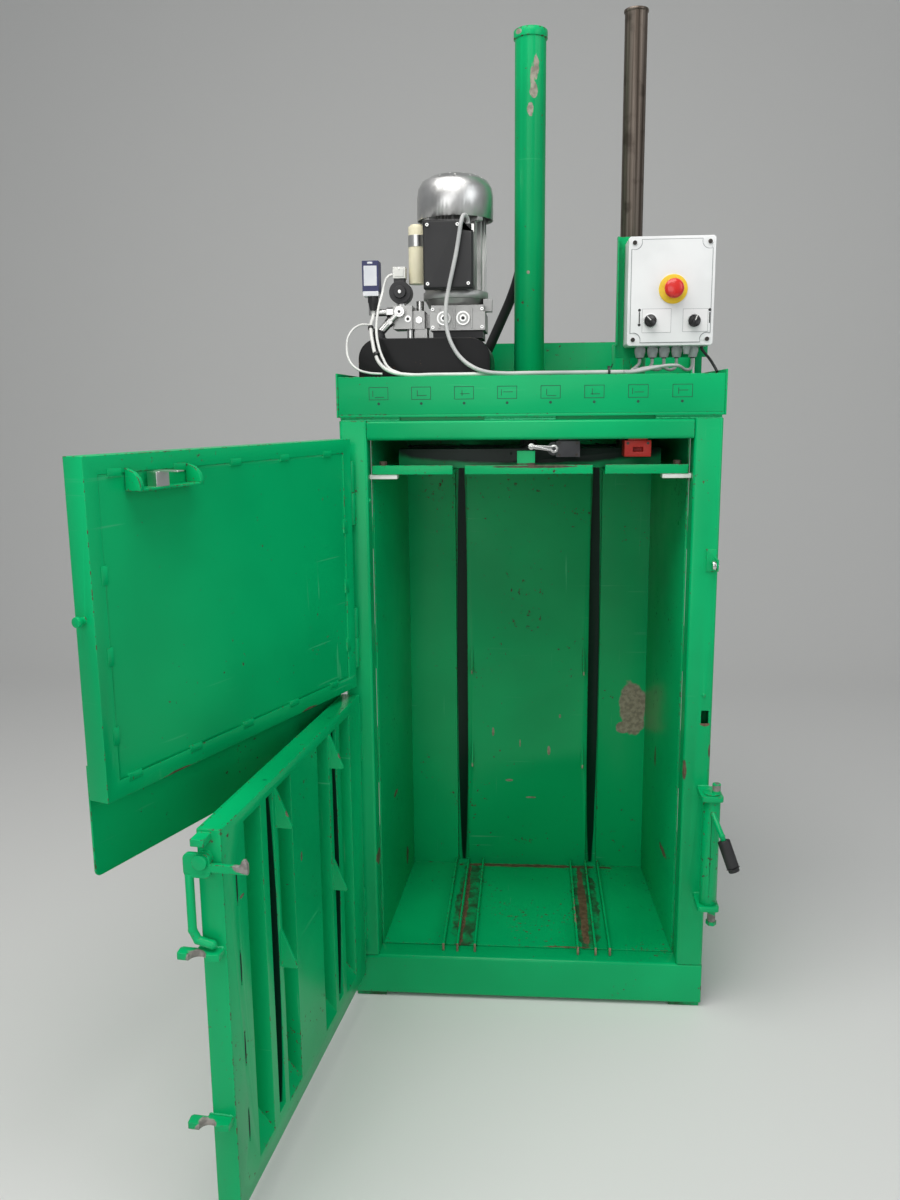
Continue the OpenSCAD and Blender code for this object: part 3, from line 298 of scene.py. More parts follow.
def built(name, mats, boxes=(), bars=(), width=0.8, steps=2):
    """Blocks (low corner, high corner, material) and round or many-sided bars (start, end, diameter, end
    diameter, sides, material), in millimetres, joined as one piece with its edges eased."""
    work = bmesh.new()
    for low, high, kind in boxes:
        size, middle = Vector(high) - Vector(low), (Vector(high) + Vector(low)) / 2
        spot = Matrix.Translation(middle) @ Matrix.Diagonal((*size, 1))
        made = bmesh.ops.create_cube(work, size=1, matrix=spot)
        for face in {f for v in made["verts"] for f in v.link_faces}:
            face.material_index = kind
    for start, end, across, across_end, sides, kind in bars:
        start, end = Vector(start), Vector(end)
        turn = (end - start).to_track_quat("Z", "Y").to_matrix().to_4x4()
        made = bmesh.ops.create_cone(
            work, cap_ends=True, segments=sides, radius1=across / 2, radius2=across_end / 2,
            depth=(end - start).length, matrix=Matrix.Translation((start + end) / 2) @ turn)
        for face in {f for v in made["verts"] for f in v.link_faces}:
            face.material_index = kind
    for face in work.faces:
        face.smooth = True
    mesh = mesh_of(name + "_raw", work)
    mesh.transform(Matrix.Scale(0.001, 4))
    for m in mats:
        mesh.materials.append(m)
    return softened(name, mesh, width, steps)


tie_black = moulded("tie_black", (0.010, 0.010, 0.010), (0.018, 0.018, 0.018), (0.4, 0.5), 500, 0.1)
ties = built("cable_ties", [tie_black], width=0.4, bars=[
    ((167, 26, 1464.8), (172, 26, 1464.8), 26, 26, 20, 0), ((174, 23, 1474), (177, 22, 1482), 3, 2, 8, 0),
    ((-352.5, 113, 1571.5), (-351.6, 109, 1567), 13, 13, 18, 0),
    ((-334, 62, 1512), (-331.6, 58.6, 1507), 16, 16, 18, 0)])
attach(ties, "frame")
ferrule_steel = moulded("ferrule_steel", (0.50, 0.49, 0.46), (0.62, 0.61, 0.58), (0.25, 0.38), 500, 0.1, metallic=1.0)
ferrules = built("hose_ferrules", [ferrule_steel], width=0.6, bars=[
    ((0, 315, 2084), (0, 315, 2112), 28.5, 28.5, 32, 0),
    ((-122.2, 425, 1491.6), (-109, 424.6, 1520), 28.5, 28.5, 32, 0)])
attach(ferrules, "frame")

# --- Sill, corner posts and head beam
# Square steel tube of the loading side, welded into a frame and sprayed in one coat of green enamel.
# The left post has the fixed halves of four hinges, the right one the lock lugs and the latch slot.
# Dark green that enamelled paints into grooves, slots and pockets as painted shade.
painted_shade_green = (0.0015, 0.022, 0.012)


def sums(tree, kind, *values):
    """One step of arithmetic on sockets and numbers."""
    return added(tree, "ShaderNodeMath", enumerate(values), operation=kind).outputs[0]


def enamel_group():
    """Sprayed enamel on steel: two close greens, orange peel, chips that gather at edges, scratches, grime."""
    tree, take = new_group("sprayed_enamel", "Shader", [
        ("Tone A", "Color", (0.0, 0.36, 0.118, 1)), ("Tone B", "Color", (0.001, 0.43, 0.143, 1)),
        ("Bare", "Color", (0.06, 0.045, 0.034, 1)), ("Edge", "Float", 0.0), ("Wear", "Float", 0.3),
        ("Scratches", "Float", 0.3), ("Grime", "Float", 0.0)],
        [("Colour", "Color"), ("Roughness", "Float"), ("Height", "Float")])
    where = own_place(tree)

    def cloud(size, detail, rough=0.5):
        return noise(tree, where, size, detail, rough)

    def times(a, b, plus=None):
        return sums(tree, "MULTIPLY", a, b) if plus is None else sums(tree, "MULTIPLY_ADD", a, b, plus)

    def score(rotation, scale, low, high):
        """Thin lines, from noise drawn out along one direction."""
        drawn = added(tree, "ShaderNodeMapping", {"Vector": where, "Rotation": rotation, "Scale": scale})
        return spread(tree, noise(tree, drawn, 1, 1, 0.4), low, high)

    coat = colour_mix(tree, spread(tree, cloud(2.6, 3), 0.35, 0.65), take["Tone A"], take["Tone B"])
    scored = sums(tree, "MAXIMUM", score((0.5, 0.35, 0.6), (5, 5, 150), 0.715, 0.76),
                  score((-0.7, 0.9, -0.2), (170, 6, 6), 0.725, 0.77))
    scored = times(times(scored, spread(tree, cloud(4, 2), 0.48, 0.62)), take["Scratches"])
    coat = colour_mix(tree, scored, coat, (0.05, 0.46, 0.20))
    dirt = times(take["Grime"], spread(tree, cloud(26, 5, 0.65), 0.30, 0.62))
    coat = colour_mix(tree, times(dirt, 0.85), coat, (0.032, 0.040, 0.022))
    speck = times(cloud(7, 2), 0.35, cloud(95, 4, 0.62))
    speck = times(take["Wear"], 0.12, times(take["Edge"], 0.115, speck))
    chips = spread(tree, speck, 0.90, 0.925)
    rust = colour_mix(tree, spread(tree, cloud(140, 3), 0.4, 0.6), take["Bare"], (0.105, 0.058, 0.03))
    sheen = times(dirt, 0.32, times(scored, 0.2, times(cloud(11, 3), 0.16, 0.24)))
    peel = times(cloud(230, 1), 0.10, times(cloud(38, 1), 0.25))
    added(tree, "NodeGroupOutput", {"Colour": colour_mix(tree, chips, coat, rust),
                                    "Roughness": times(chips, 0.35, sheen), "Height": times(chips, -0.5, peel)})
    return tree


sprayed_enamel = enamel_group()


def patch(tree, centre, half, ragged=0.55, fine=40):
    """Mask of a worn, dirty or painted-shade place: an uneven blot round centre, of the half sizes given, in metres."""
    where = own_place(tree)
    away = added(tree, "ShaderNodeVectorMath", {0: where, 1: centre}, operation="SUBTRACT")
    away = added(tree, "ShaderNodeVectorMath", {0: away, 1: half}, operation="DIVIDE")
    away = added(tree, "ShaderNodeVectorMath", {0: away}, operation="LENGTH").outputs["Value"]
    edge = sums(tree, "MULTIPLY_ADD", noise(tree, where, fine, 5), ragged * 2, away)
    return spread(tree, edge, 0.86 + ragged, 1.0 + ragged, 1, 0)


def patches(tree, places):
    """The strongest mask of several worn, dirty or painted-shade places."""
    strongest, *others = [patch(tree, *p) for p in places]
    for mask in others:
        strongest = sums(tree, "MAXIMUM", strongest, mask)
    return strongest


def enamelled(name, wear=0.3, scratches=0.35, grime=(), bare=(), bare_tone=(0.16, 0.105, 0.07), tones=None,
              coat=0.04, shade=()):
    """Enamelled steel. grime, bare and shade list places as (centre, half sizes): where dirt lies, where the coat
    is gone, and where dark green is painted in as shade in a groove, slot or pocket."""
    mat, tree, shader = new_material(name)
    edge = added(tree, "ShaderNodeAttribute", attribute_name="edge").outputs["Fac"]
    taken = {"Wear": wear, "Scratches": scratches, "Edge": edge}
    if tones:
        taken.update({"Tone A": (*tones[0], 1), "Tone B": (*tones[1], 1)})
    if grime:
        taken["Grime"] = patches(tree, grime)
    paint = added(tree, "ShaderNodeGroup", taken, node_tree=sprayed_enamel).outputs
    colour, rough = paint["Colour"], paint["Roughness"]
    if bare:
        gone = patches(tree, bare)
        tone = added(tree, "ShaderNodeGroup", {"Size": 90, "Drift Size": 35}, node_tree=fine_grain).outputs["Height"]
        steel = colour_mix(tree, spread(tree, tone, 0.35, 0.65), tuple(c * 0.62 for c in bare_tone), bare_tone)
        colour = colour_mix(tree, gone, colour, steel)
        rough = sums(tree, "MULTIPLY_ADD", gone, 0.35, rough)
    # Painted shade: the places listed in shade are mixed towards dark green.
    if shade:
        colour = colour_mix(tree, patches(tree, shade), colour, painted_shade_green)
    fed(tree, shader, {"Specular IOR Level": 0.2, "Base Color": colour, "Roughness": rough, "Coat Weight": coat,
                       "Normal": raised(tree, paint["Height"], 0.35, 0.0006), "Coat Roughness": 0.12})
    return mat


def eased(name, node, mats, width=1.2, steps=2, limit=35):
    """A copy of a solid with its loose triangles joined into faces and its sharp edges eased by width millimetres.
    The narrow new faces carry the value 1 in the attribute named edge, where a coat wears first."""
    work = bmesh.new()
    work.from_mesh(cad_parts[node].data)
    bmesh.ops.remove_doubles(work, verts=work.verts, dist=2e-6)
    bmesh.ops.dissolve_limit(work, angle_limit=math.radians(0.5), verts=work.verts, edges=work.edges)
    mesh = mesh_of(name + "_raw", work)
    mesh.transform(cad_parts[node].matrix_world)
    mesh.materials.clear()
    for _ in range(2):
        mesh.materials.append(mats[0])
    mesh.polygons.foreach_set("material_index", [0] * len(mesh.polygons))
    mesh.polygons.foreach_set("use_smooth", [True] * len(mesh.polygons))
    piece = softened(name, mesh, width, steps, limit, material=1, use_clamp_overlap=False)
    worn = [1.0 if p.material_index == 1 else 0.0 for p in piece.data.polygons]
    piece.data.attributes.new("edge", "FLOAT", "FACE").data.foreach_set("value", worn)
    piece.data.polygons.foreach_set("material_index", [0] * len(worn))
    piece.data.materials.clear()
    for m in mats:
        piece.data.materials.append(m)
    return piece


def stands_for(piece, body, finish, *nodes):
    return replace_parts(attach(piece, body), *nodes)


def shown(name, node, mat, width, finish="green_paint", body="frame", **more):
    """A CAD solid with its edges eased and its finish on, in the place of its node."""
    stands_for(eased(name, node, [mat], width, **more), body, finish, node)


frame_green = enamelled("frame_green", 0.22, 0.4)
post_green = enamelled("post_green", 0.26, 0.45, bare=[
    ((0.352, 0.0, 0.585), (0.006, 0.006, 0.03)), ((0.408, 0.0, 0.63), (0.004, 0.004, 0.02)),
    ((0.394, 0.0, 0.695), (0.012, 0.004, 0.005)), ((-0.352, 0.03, 0.35), (0.006, 0.03, 0.02))])
shown("sill_steel", "sill", frame_green, 2.0)
shown("post_left_steel", "post_left", post_green, 1.0)
shown("post_right_steel", "post_right", post_green, 1.0)
shown("head_beam_steel", "head_beam", frame_green, 1.5)

# --- Chamber walls and back wall
# Folded 4 mm sheet that leans in towards the back, stiffened by channels outside. The back has two pressed
# strap grooves and four teeth that hold the bale down; long use has scuffed and scratched it.
groove_x, tooth_x, inner_face = 0.18, 0.152, 0.511
wall_green = enamelled("wall_green", 0.28, 0.8, bare=[
    ((-0.335, 0.25, 0.42), (0.03, 0.03, 0.008)), ((0.34, 0.2, 0.30), (0.03, 0.05, 0.01)),
    ((0.335, 0.34, 0.50), (0.03, 0.01, 0.03)), ((-0.34, 0.4, 0.18), (0.03, 0.02, 0.03))])
scuffs = [((x, inner_face, z), (half_x, 0.003, half_z)) for x, z, half_x, half_z in (
    (-0.05, 0.36, 0.012, 0.004), (0.06, 0.45, 0.004, 0.014), (0.012, 0.31, 0.015, 0.003), (-0.095, 0.50, 0.003, 0.012),
    (0.09, 0.55, 0.003, 0.006), (-0.02, 0.47, 0.002, 0.012))]
# The dark green down the two strap grooves is painted shade.
back_green = enamelled(
    "back_green", 0.30, 1.0, bare_tone=(0.40, 0.32, 0.25),
    shade=[((x, 0.537, 0.7), (0.016, 0.022, 0.68), 0.05, 14) for x in (-groove_x, groove_x)],
    bare=[((0.288, inner_face, 0.575), (0.040, 0.003, 0.075), 0.4, 22),
          ((0.262, inner_face, 0.52), (0.02, 0.003, 0.02), 0.4, 30)] + scuffs
    + [((x, 0.480, z), (0.006, 0.006, 0.034), 0.2, 60) for z in (0.705, 0.44) for x in (-tooth_x, tooth_x)])
shown("side_wall_left_sheet", "side_wall_left", wall_green, 0.8)
shown("side_wall_right_sheet", "side_wall_right", wall_green, 0.8)
shown("back_wall_sheet", "back_wall", back_green, 0.7)

# --- Rear posts, rails and base
# Square tube and flat bar behind and below the chamber, with four feet; painted with the rest.
# The listed place darkens the base along its lowest three centimetres, by the floor.
base_green = enamelled("base_green", 0.3, 0.3, grime=[((0, 0.3, 0.0), (0.9, 0.9, 0.03), 0.4, 12)])
for node, width in (("rear_posts", 1.2), ("back_rails", 0.8), ("base_frame", 0.8)):
    shown(node + "_steel", node, base_green, width)

# --- Chamber floor and strap bars
# Floor sheet with six flat bars on edge that keep the straps free. Paint is rubbed off along the front
# edge and the bars, and brown dust and rust lie in the channels.
floor_z = 0.108
floor_green = enamelled(
    "floor_green", 0.45, 1.0, coat=0.0, bare_tone=(0.17, 0.105, 0.06),
    grime=[((x, 0.27, floor_z), (0.034, 0.28, 0.02), 0.5, 30) for x in (-0.155, 0.155)],
    bare=[((x, 0.28, floor_z), (0.011, 0.24, 0.02), 0.55, 40) for x in (-0.163, 0.147)]
    + [((0.0, 0.50, floor_z), (0.24, 0.010, 0.02), 0.6, 45), ((0.10, 0.063, floor_z), (0.06, 0.003, 0.02), 0.6, 60)])
bar_green = enamelled("bar_green", 0.7, 0.8, coat=0.0, bare_tone=(0.30, 0.22, 0.15), bare=[
    ((0, 0.026, 0.12), (0.3, 0.006, 0.014), 0.3, 60), ((0.14, 0.2, 0.128), (0.02, 0.12, 0.002), 0.5, 60)])
shown("floor_sheet", "floor_plate", floor_green, 0.6)
shown("strap_bars", "floor_bars", bar_green, 0.7)

# --- Deck, apron and plates round it
# Flat deck on spacer pads, with an upright front sheet folded back along its top, end plates that close the
# tray, and a tall upright plate with four gussets behind. All welded and sprayed green.
deck_green = enamelled("deck_green", 0.15, 0.4)
for node, width in (("deck_plate", 1.0), ("front_apron", 0.9), ("rear_plate", 0.9), ("end_plates", 1.0)):
    shown(node + "_steel", node, deck_green, width)

backing = built("deck_backing", [deck_green], [((-407, 12, 1367), (407, 16, 1374), 0)], width=0.4)
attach(backing, "frame")


def weld_group():
    """Weld beads: small uneven drops, one at each point, turned and sized at random."""
    tree, take = new_group("weld_beads", "Geometry", [
        ("Geometry", "Geometry"), ("Size", "Float", 0.0022), ("Uneven", "Float", 0.35), ("Seed", "Int", 7),
        ("Material", "Material")], [("Geometry", "Geometry")])
    drop = added(tree, "GeometryNodeMeshIcoSphere", {"Subdivisions": 2, "Radius": take["Size"]})
    low, high = (sums(tree, kind, 1, take["Uneven"]) for kind in ("SUBTRACT", "ADD"))
    size, turn = (added(tree, "FunctionNodeRandomValue", {**ends, "Seed": take["Seed"]}, data_type="FLOAT_VECTOR")
                  for ends in ({"Min": low, "Max": high}, {"Max": (3, 3, 3)}))
    put = added(tree, "GeometryNodeInstanceOnPoints", {
        "Points": take["Geometry"], "Instance": drop, "Scale": size, "Rotation": turn})
    real = added(tree, "GeometryNodeRealizeInstances", {"Geometry": put})
    smooth = added(tree, "GeometryNodeSetShadeSmooth", {"Geometry": real})
    paint = added(tree, "GeometryNodeSetMaterial", {"Geometry": smooth, "Material": take["Material"]})
    added(tree, "NodeGroupOutput", {"Geometry": paint})
    return tree


def grown(name, points, tree, **values):
    """What a node tree makes of points given in millimetres, as a plain mesh."""
    mesh = bpy.data.meshes.new(name + "_points")
    mesh.from_pydata([Vector(p) / 1000 for p in points], [], [])
    raw = placed(name + "_points", mesh)
    repeat = raw.modifiers.new("repeat", "NODES")
    repeat.node_group = tree
    for item in tree.interface.items_tree:
        if item.item_type == "SOCKET" and item.in_out == "INPUT" and item.name in values:
            repeat[item.identifier] = values[item.name]
    bpy.context.view_layer.update()
    return plain_mesh(name, raw)


def seam(start, end, pitch=2.2):
    """Points along a straight weld, in millimetres."""
    start, end = Vector(start), Vector(end)
    count = max(2, round((end - start).length / pitch))
    return [start.lerp(end, i / (count - 1)) for i in range(count)]


weld_beads = weld_group()
# The beads are a lighter green than the coat round them: a painted highlight along the welds.
highlit_weld_green = enamelled("highlit_weld_green", 0.05, 0.1, tones=((0.02, 0.44, 0.17), (0.05, 0.52, 0.24)))
pad_seams = [p for low, high in ((-405, -280), (-93, 56), (270, 405)) for z in (1368.2, 1373.4)
             for p in seam((low, 4.6, z), (high, 4.6, z))]
lug_seams = [p for z in (277.4, 290.6, 537.4, 550.6) for p in seam((386, -0.8, z), (408, -0.8, z))]
frame_welds = grown("frame_welds", pad_seams + lug_seams, weld_beads, Size=0.0019, Uneven=0.4, Seed=5,
                    Material=highlit_weld_green)
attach(frame_welds, "frame")
mark_dark = moulded("mark_dark", (0.004, 0.045, 0.028), (0.008, 0.07, 0.042), (0.5, 0.6), 500, 0.02)
mark_low, mark_high, half_wide, stroke, first_x, mark_pitch = 1411, 1437, 21, 1.2, -322, 92
lines, dots = [], []
for i in range(8):
    mid = first_x + mark_pitch * i
    left, right, post_x, rail_z = mid - half_wide, mid + half_wide, mid - 13 + 4 * (i % 3), 1416 + 3 * (i % 4)
    for x0, z0, x1, z1 in (
            (left, mark_low, right, mark_low + stroke), (left, mark_high, right, mark_high + stroke),
            (left, mark_low, left + stroke, mark_high + stroke), (right - stroke, mark_low, right, mark_high + stroke),
            (post_x, 1418, post_x + 1.4, 1431), (mid - 8, rail_z, mid + 12, rail_z + 1.3)):
        lines.append(((x0, -0.12, z0), (x1, 0.3, z1), 0))
    dots.append(((mid, 0.3, 1403), (mid, -0.12, 1403), 6, 6, 20, 0))
marks = built("apron_marks", [mark_dark], lines, dots, width=0)
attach(marks, "frame")

# --- Cylinder, its foot flange and the guide collar
# Long green barrel with a flat cap and a bolted foot flange; the paint has flaked off in a patch below the cap.
barrel_front = 0.224
flaked = [((x, barrel_front, z), (half_x, 0.02, half_z), ragged, 70) for x, z, half_x, half_z, ragged in (
    (0.012, 2.132, 0.007, 0.026, 0.5), (0.008, 2.082, 0.009, 0.018, 0.5), (0.0, 2.045, 0.007, 0.016, 0.5),
    (0.004, 2.108, 0.005, 0.035, 0.5), (-0.003, 1.696, 0.004, 0.004, 0.3), (-0.028, 2.206, 0.008, 0.006, 0.4))]
barrel_green = enamelled("barrel_green", 0.30, 0.35, bare=flaked, bare_tone=(0.40, 0.37, 0.30))
collar_green = enamelled("collar_green", 0.45, 0.35)
shown("cylinder_barrel", "press_cylinder", barrel_green, 1.2)
shown("foot_flange", "cylinder_flange", collar_green, 1.0)
shown("guide_collar", "guide_sleeve", collar_green, 1.2)

# --- Oil tank with the return pipe's boot
# Black sprayed steel tank with strongly rounded shoulders. A tapered rubber boot stands on it where the return
# pipe goes in.
tank_black = enamelled("tank_black", 0.10, 0.2, tones=((0.006, 0.006, 0.0065), (0.010, 0.010, 0.0105)), coat=0.0)
boot_rubber = moulded("boot_rubber", (0.010, 0.010, 0.011), (0.022, 0.022, 0.023), (0.45, 0.6), 500, 0.3)
shown("oil_tank", "tank", tank_black, 2.5, "black_paint", steps=3)
boot = built("pipe_boot", [boot_rubber], width=1.0, bars=[
    ((-338, 128, 1540), (-338, 128, 1549), 38, 37, 32, 0), ((-338, 128, 1549), (-336.4, 128.2, 1563), 34, 24, 32, 0),
    ((-336.8, 128.2, 1559), (-334.6, 128.3, 1566), 27, 26, 32, 0)])
stands_for(boot, "frame", "black_plastic", "filler_cap")

# --- Pump block with its pressure pipe, manifold, coil and return pipe
# Cast aluminium blocks on a black foot under the motor, with two ringed ports in front; a black coil with its
# pale plug lies on the manifold, and a bright return pipe runs from a banjo fitting down into the boot.
block_metal = moulded("block_metal", (0.30, 0.30, 0.29), (0.44, 0.44, 0.43), (0.30, 0.46), 420, 0.35, metallic=0.85)
bright_metal = moulded("bright_metal", (0.66, 0.66, 0.64), (0.78, 0.78, 0.76), (0.2, 0.34), 500, 0.15, metallic=1.0)
coil_black = moulded("coil_black", (0.010, 0.010, 0.011), (0.022, 0.022, 0.024), (0.38, 0.5), 700, 0.25)
plug_white = moulded("plug_white", (0.62, 0.62, 0.58), (0.74, 0.74, 0.70), (0.35, 0.5), 700, 0.15)
socket_dark = moulded("socket_dark", (0.012, 0.012, 0.012), (0.03, 0.03, 0.03), (0.5, 0.6), 500, 0.1)
port_z = 1589
port_rings = [(133, 125, 31, 31, 32, 2), (126, 124.5, 24, 24, 32, 0), (125, 124, 16, 15, 32, 2),
              (125, 123.7, 9, 9, 6, 3)]
pump = built("pump_body", [block_metal, coil_black, bright_metal, socket_dark], width=1.4, boxes=[
    ((-216, 146, 1546.3), (-104, 280, 1564), 1), ((-222, 132, 1563), (-98, 282, 1603), 0),
    ((-219, 135, 1602), (-101, 279, 1618), 0), ((-104, 172, 1606), (-84, 200, 1633.7), 0)]
    + [((x, 129, 1567), (x + 4, 134, 1611), 0) for x in (-203, -169, -130)],
    bars=[((-168, 205, 1617), (-168, 205, 1633.7), 124, 140, 48, 0)]
    + [((x, y0, port_z), (x, y1, port_z), *rest) for x in (-190, -147) for y0, y1, *rest in port_rings])
stands_for(pump, "frame", "cast_aluminium", "pump_block")
pipe_route = [
    (-150, 281, 1592), (-150, 300, 1592), (-150, 400, 1592), (-150, 420, 1586), (-150, 425, 1568), (-150, 425, 1510),
    (-149, 425, 1488), (-141, 425, 1476), (-131, 425, 1478), (-125, 425, 1487), (-122, 425, 1492)]
pressure_pipe = lead("pressure_pipe", [(pipe_route, 18)], bright_metal, 8)
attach(pressure_pipe, "frame")
manifold = built("valve_manifold", [block_metal, bright_metal, socket_dark], width=1.2, boxes=[
    ((-306, 140, 1568), (-262, 215, 1619), 0), ((-264, 150, 1568), (-235, 215, 1608), 0),
    ((-240, 180, 1572), (-221, 240, 1602), 0), ((-258, 152, 1545), (-230, 200, 1569), 0)], bars=[
    ((-272, 141, 1590), (-272, 138.4, 1590), 15, 15, 24, 1), ((-272, 139, 1590), (-272, 138.1, 1590), 8, 8, 6, 2),
    ((-248, 151, 1588), (-248, 147, 1588), 17, 17, 6, 1), ((-269, 165, 1546), (-269, 165, 1569), 17, 17, 24, 1),
    ((-250, 199, 1607), (-250, 199, 1633), 18, 18, 24, 1)])
stands_for(manifold, "frame", "cast_aluminium", "manifold")
coil = built("valve_coil", [coil_black, plug_white, bright_metal], width=1.6, steps=3, boxes=[
    ((-303, 156, 1658), (-277, 190, 1672), 0), ((-304, 152, 1670), (-279, 178, 1680), 0),
    ((-306, 150, 1679), (-277, 176, 1704), 1), ((-302, 149, 1683), (-281, 152, 1700), 1)], bars=[
    ((-290, 196, 1649.5), (-290, 150, 1649.5), 50, 50, 40, 0),
    ((-290, 151, 1649.5), (-290, 141, 1649.5), 29, 27, 28, 0),
    ((-290, 142, 1649.5), (-290, 138.5, 1649.5), 9, 8, 20, 2), ((-290, 173, 1618), (-290, 173, 1630), 22, 22, 24, 2),
    ((-291.5, 150.5, 1700), (-291.5, 148, 1700), 5, 5, 16, 2)])
stands_for(coil, "frame", "black_plastic", "solenoid")
return_pipe = built("return_pipe", [bright_metal, socket_dark], width=0.8, bars=[
    ((-289.5, 140.5, 1605), (-289.5, 124, 1605), 23, 23, 32, 0),
    ((-289.5, 125, 1605), (-289.5, 122, 1605), 16, 16, 6, 0), ((-289.5, 123, 1605), (-289.5, 121.9, 1605), 8, 8, 6, 1),
    ((-292, 130, 1602.5), (-312, 131, 1583), 13, 13, 28, 0), ((-309, 130.9, 1586), (-316, 130, 1579), 22, 22, 6, 0),
    ((-314, 130.3, 1581), (-333, 128.4, 1561), 19, 19, 32, 0)])
stands_for(return_pipe, "frame", "bright_steel", "relief_valve")

# --- Pressure switch
# Dark blue moulded housing with a blank pale plate and a pale foot, on a bent steel stub, with a black lead
# gland below.
switch_blue = moulded("switch_blue", (0.018, 0.022, 0.085), (0.030, 0.036, 0.12), (0.35, 0.5), 600, 0.12)
switch_pale = moulded("switch_pale", (0.60, 0.62, 0.66), (0.74, 0.75, 0.77), (0.35, 0.5), 600, 0.15)
pressure = built("pressure_switch_body", [switch_blue, switch_pale, bright_metal, coil_black], width=1.2, boxes=[
    ((-372, 130, 1649), (-335, 172, 1716), 0), ((-368.5, 129.3, 1662), (-339, 131, 1705), 1),
    ((-371, 129.6, 1640), (-336, 170, 1650.5), 1), ((-360, 129.4, 1709), (-348, 131, 1713.5), 1)], bars=[
    ((-353, 158, 1600), (-353, 158, 1641), 20, 20, 32, 2), ((-353, 158, 1606), (-305, 158, 1606), 16, 16, 32, 2),
    ((-322, 158, 1606), (-306, 158, 1606), 24, 24, 6, 2), ((-350, 143, 1626), (-350, 143, 1641), 26, 26, 6, 3),
    ((-350, 143, 1609), (-350, 143, 1627), 15, 23, 28, 3)])
stands_for(pressure, "frame", "blue_plastic", "pressure_switch")

# --- Motor, fan cowl, rotor and capacitor
# Cast aluminium motor with cooling fins under a spun bright cowl, a black moulded terminal box in front and a
# cream starting capacitor held by a metal band.
fin_metal = moulded("fin_metal", (0.44, 0.44, 0.43), (0.58, 0.58, 0.57), (0.4, 0.55), 520, 0.3, metallic=0.8)
cowl_metal = moulded("cowl_metal", (0.62, 0.62, 0.61), (0.74, 0.74, 0.73), (0.26, 0.4), 900, 0.25, metallic=1.0)
terminal_black = moulded("terminal_black", (0.007, 0.007, 0.008), (0.014, 0.014, 0.015), (0.35, 0.5), 900, 0.3)
cream = moulded("cream_plastic", (0.72, 0.66, 0.44), (0.80, 0.75, 0.55), (0.3, 0.42), 600, 0.1)
rotor_metal = moulded("rotor_metal", (0.10, 0.10, 0.10), (0.2, 0.2, 0.2), (0.4, 0.6), 400, 0.2, metallic=0.9)
shown("motor_housing", "motor", fin_metal, 0.5, "cast_aluminium", steps=1)
shown("fan_cowl", "motor_cowl", cowl_metal, 0.4, "cast_aluminium", steps=1)
shown("rotor", "motor_rotor", rotor_metal, 0.0, "bright_steel", "rotor")
shown("terminal_cover", "terminal_box", terminal_black, 1.2, "black_plastic", steps=3)
shown("capacitor_can", "capacitor", cream, 1.4, "cream_plastic", steps=3)
band = built("capacitor_band", [bright_metal], [((-240, 182, 1749), (-222, 186, 1772), 0)],
             [((-253, 176, 1748), (-253, 176, 1773), 39.4, 39.4, 48, 0)], width=0.4)
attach(band, "frame")


def screw_group():
    """Screw heads: one at each point, its face turned the same way and its recess turned at random."""
    tree, take = new_group("screw_heads", "Geometry", [
        ("Geometry", "Geometry"), ("Across", "Float", 0.008), ("Height", "Float", 0.0016), ("Sides", "Int", 20),
        ("Turn", "Vector", (math.pi / 2, 0, 0)), ("Seed", "Int", 2), ("Head", "Material"), ("Recess", "Material")],
        [("Geometry", "Geometry")])
    whole = added(tree, "GeometryNodeJoinGeometry")
    for share, rise, sides, finish in (
            (0.5, 0.3, take["Sides"], "Head"), (0.42, 0.5, take["Sides"], "Head"), (0.2, 0.56, 6, "Recess")):
        radius, lift = sums(tree, "MULTIPLY", take["Across"], share), sums(tree, "MULTIPLY", take["Height"], rise)
        disc = added(tree, "GeometryNodeMeshCylinder", {"Radius": radius, "Depth": take["Height"], "Vertices": sides})
        disc = added(tree, "GeometryNodeTransform", {
            "Geometry": disc, "Translation": added(tree, "ShaderNodeCombineXYZ", {"Z": lift})})
        disc = added(tree, "GeometryNodeSetMaterial", {"Geometry": disc, "Material": take[finish]})
        fed(tree, whole, {"Geometry": disc})
    put = added(tree, "GeometryNodeInstanceOnPoints",
                {"Points": take["Geometry"], "Instance": whole, "Rotation": take["Turn"]})
    dice = added(tree, "FunctionNodeRandomValue", {"Seed": take["Seed"]}, data_type="FLOAT")
    about = added(tree, "ShaderNodeCombineXYZ", {"Z": next(o for o in dice.outputs if o.enabled)})
    spin = added(tree, "GeometryNodeRotateInstances", {"Instances": put, "Rotation": about})
    real = added(tree, "GeometryNodeRealizeInstances", {"Geometry": spin})
    added(tree, "NodeGroupOutput", {"Geometry": real})
    return tree


screw_heads = screw_group()
screw_points = [(-222, 95.4, 1660), (-133, 95.4, 1660), (-222, 95.4, 1783), (-156, 95.4, 1783)]
screw_points += [(x, 131.9, z) for z in (1609, 1570) for x in (-215, -105)]
bright_screws = grown("housing_screws", screw_points, screw_heads, Across=0.0075, Height=0.0016, Seed=4,
                      Head=bright_metal, Recess=socket_dark)
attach(bright_screws, "frame")

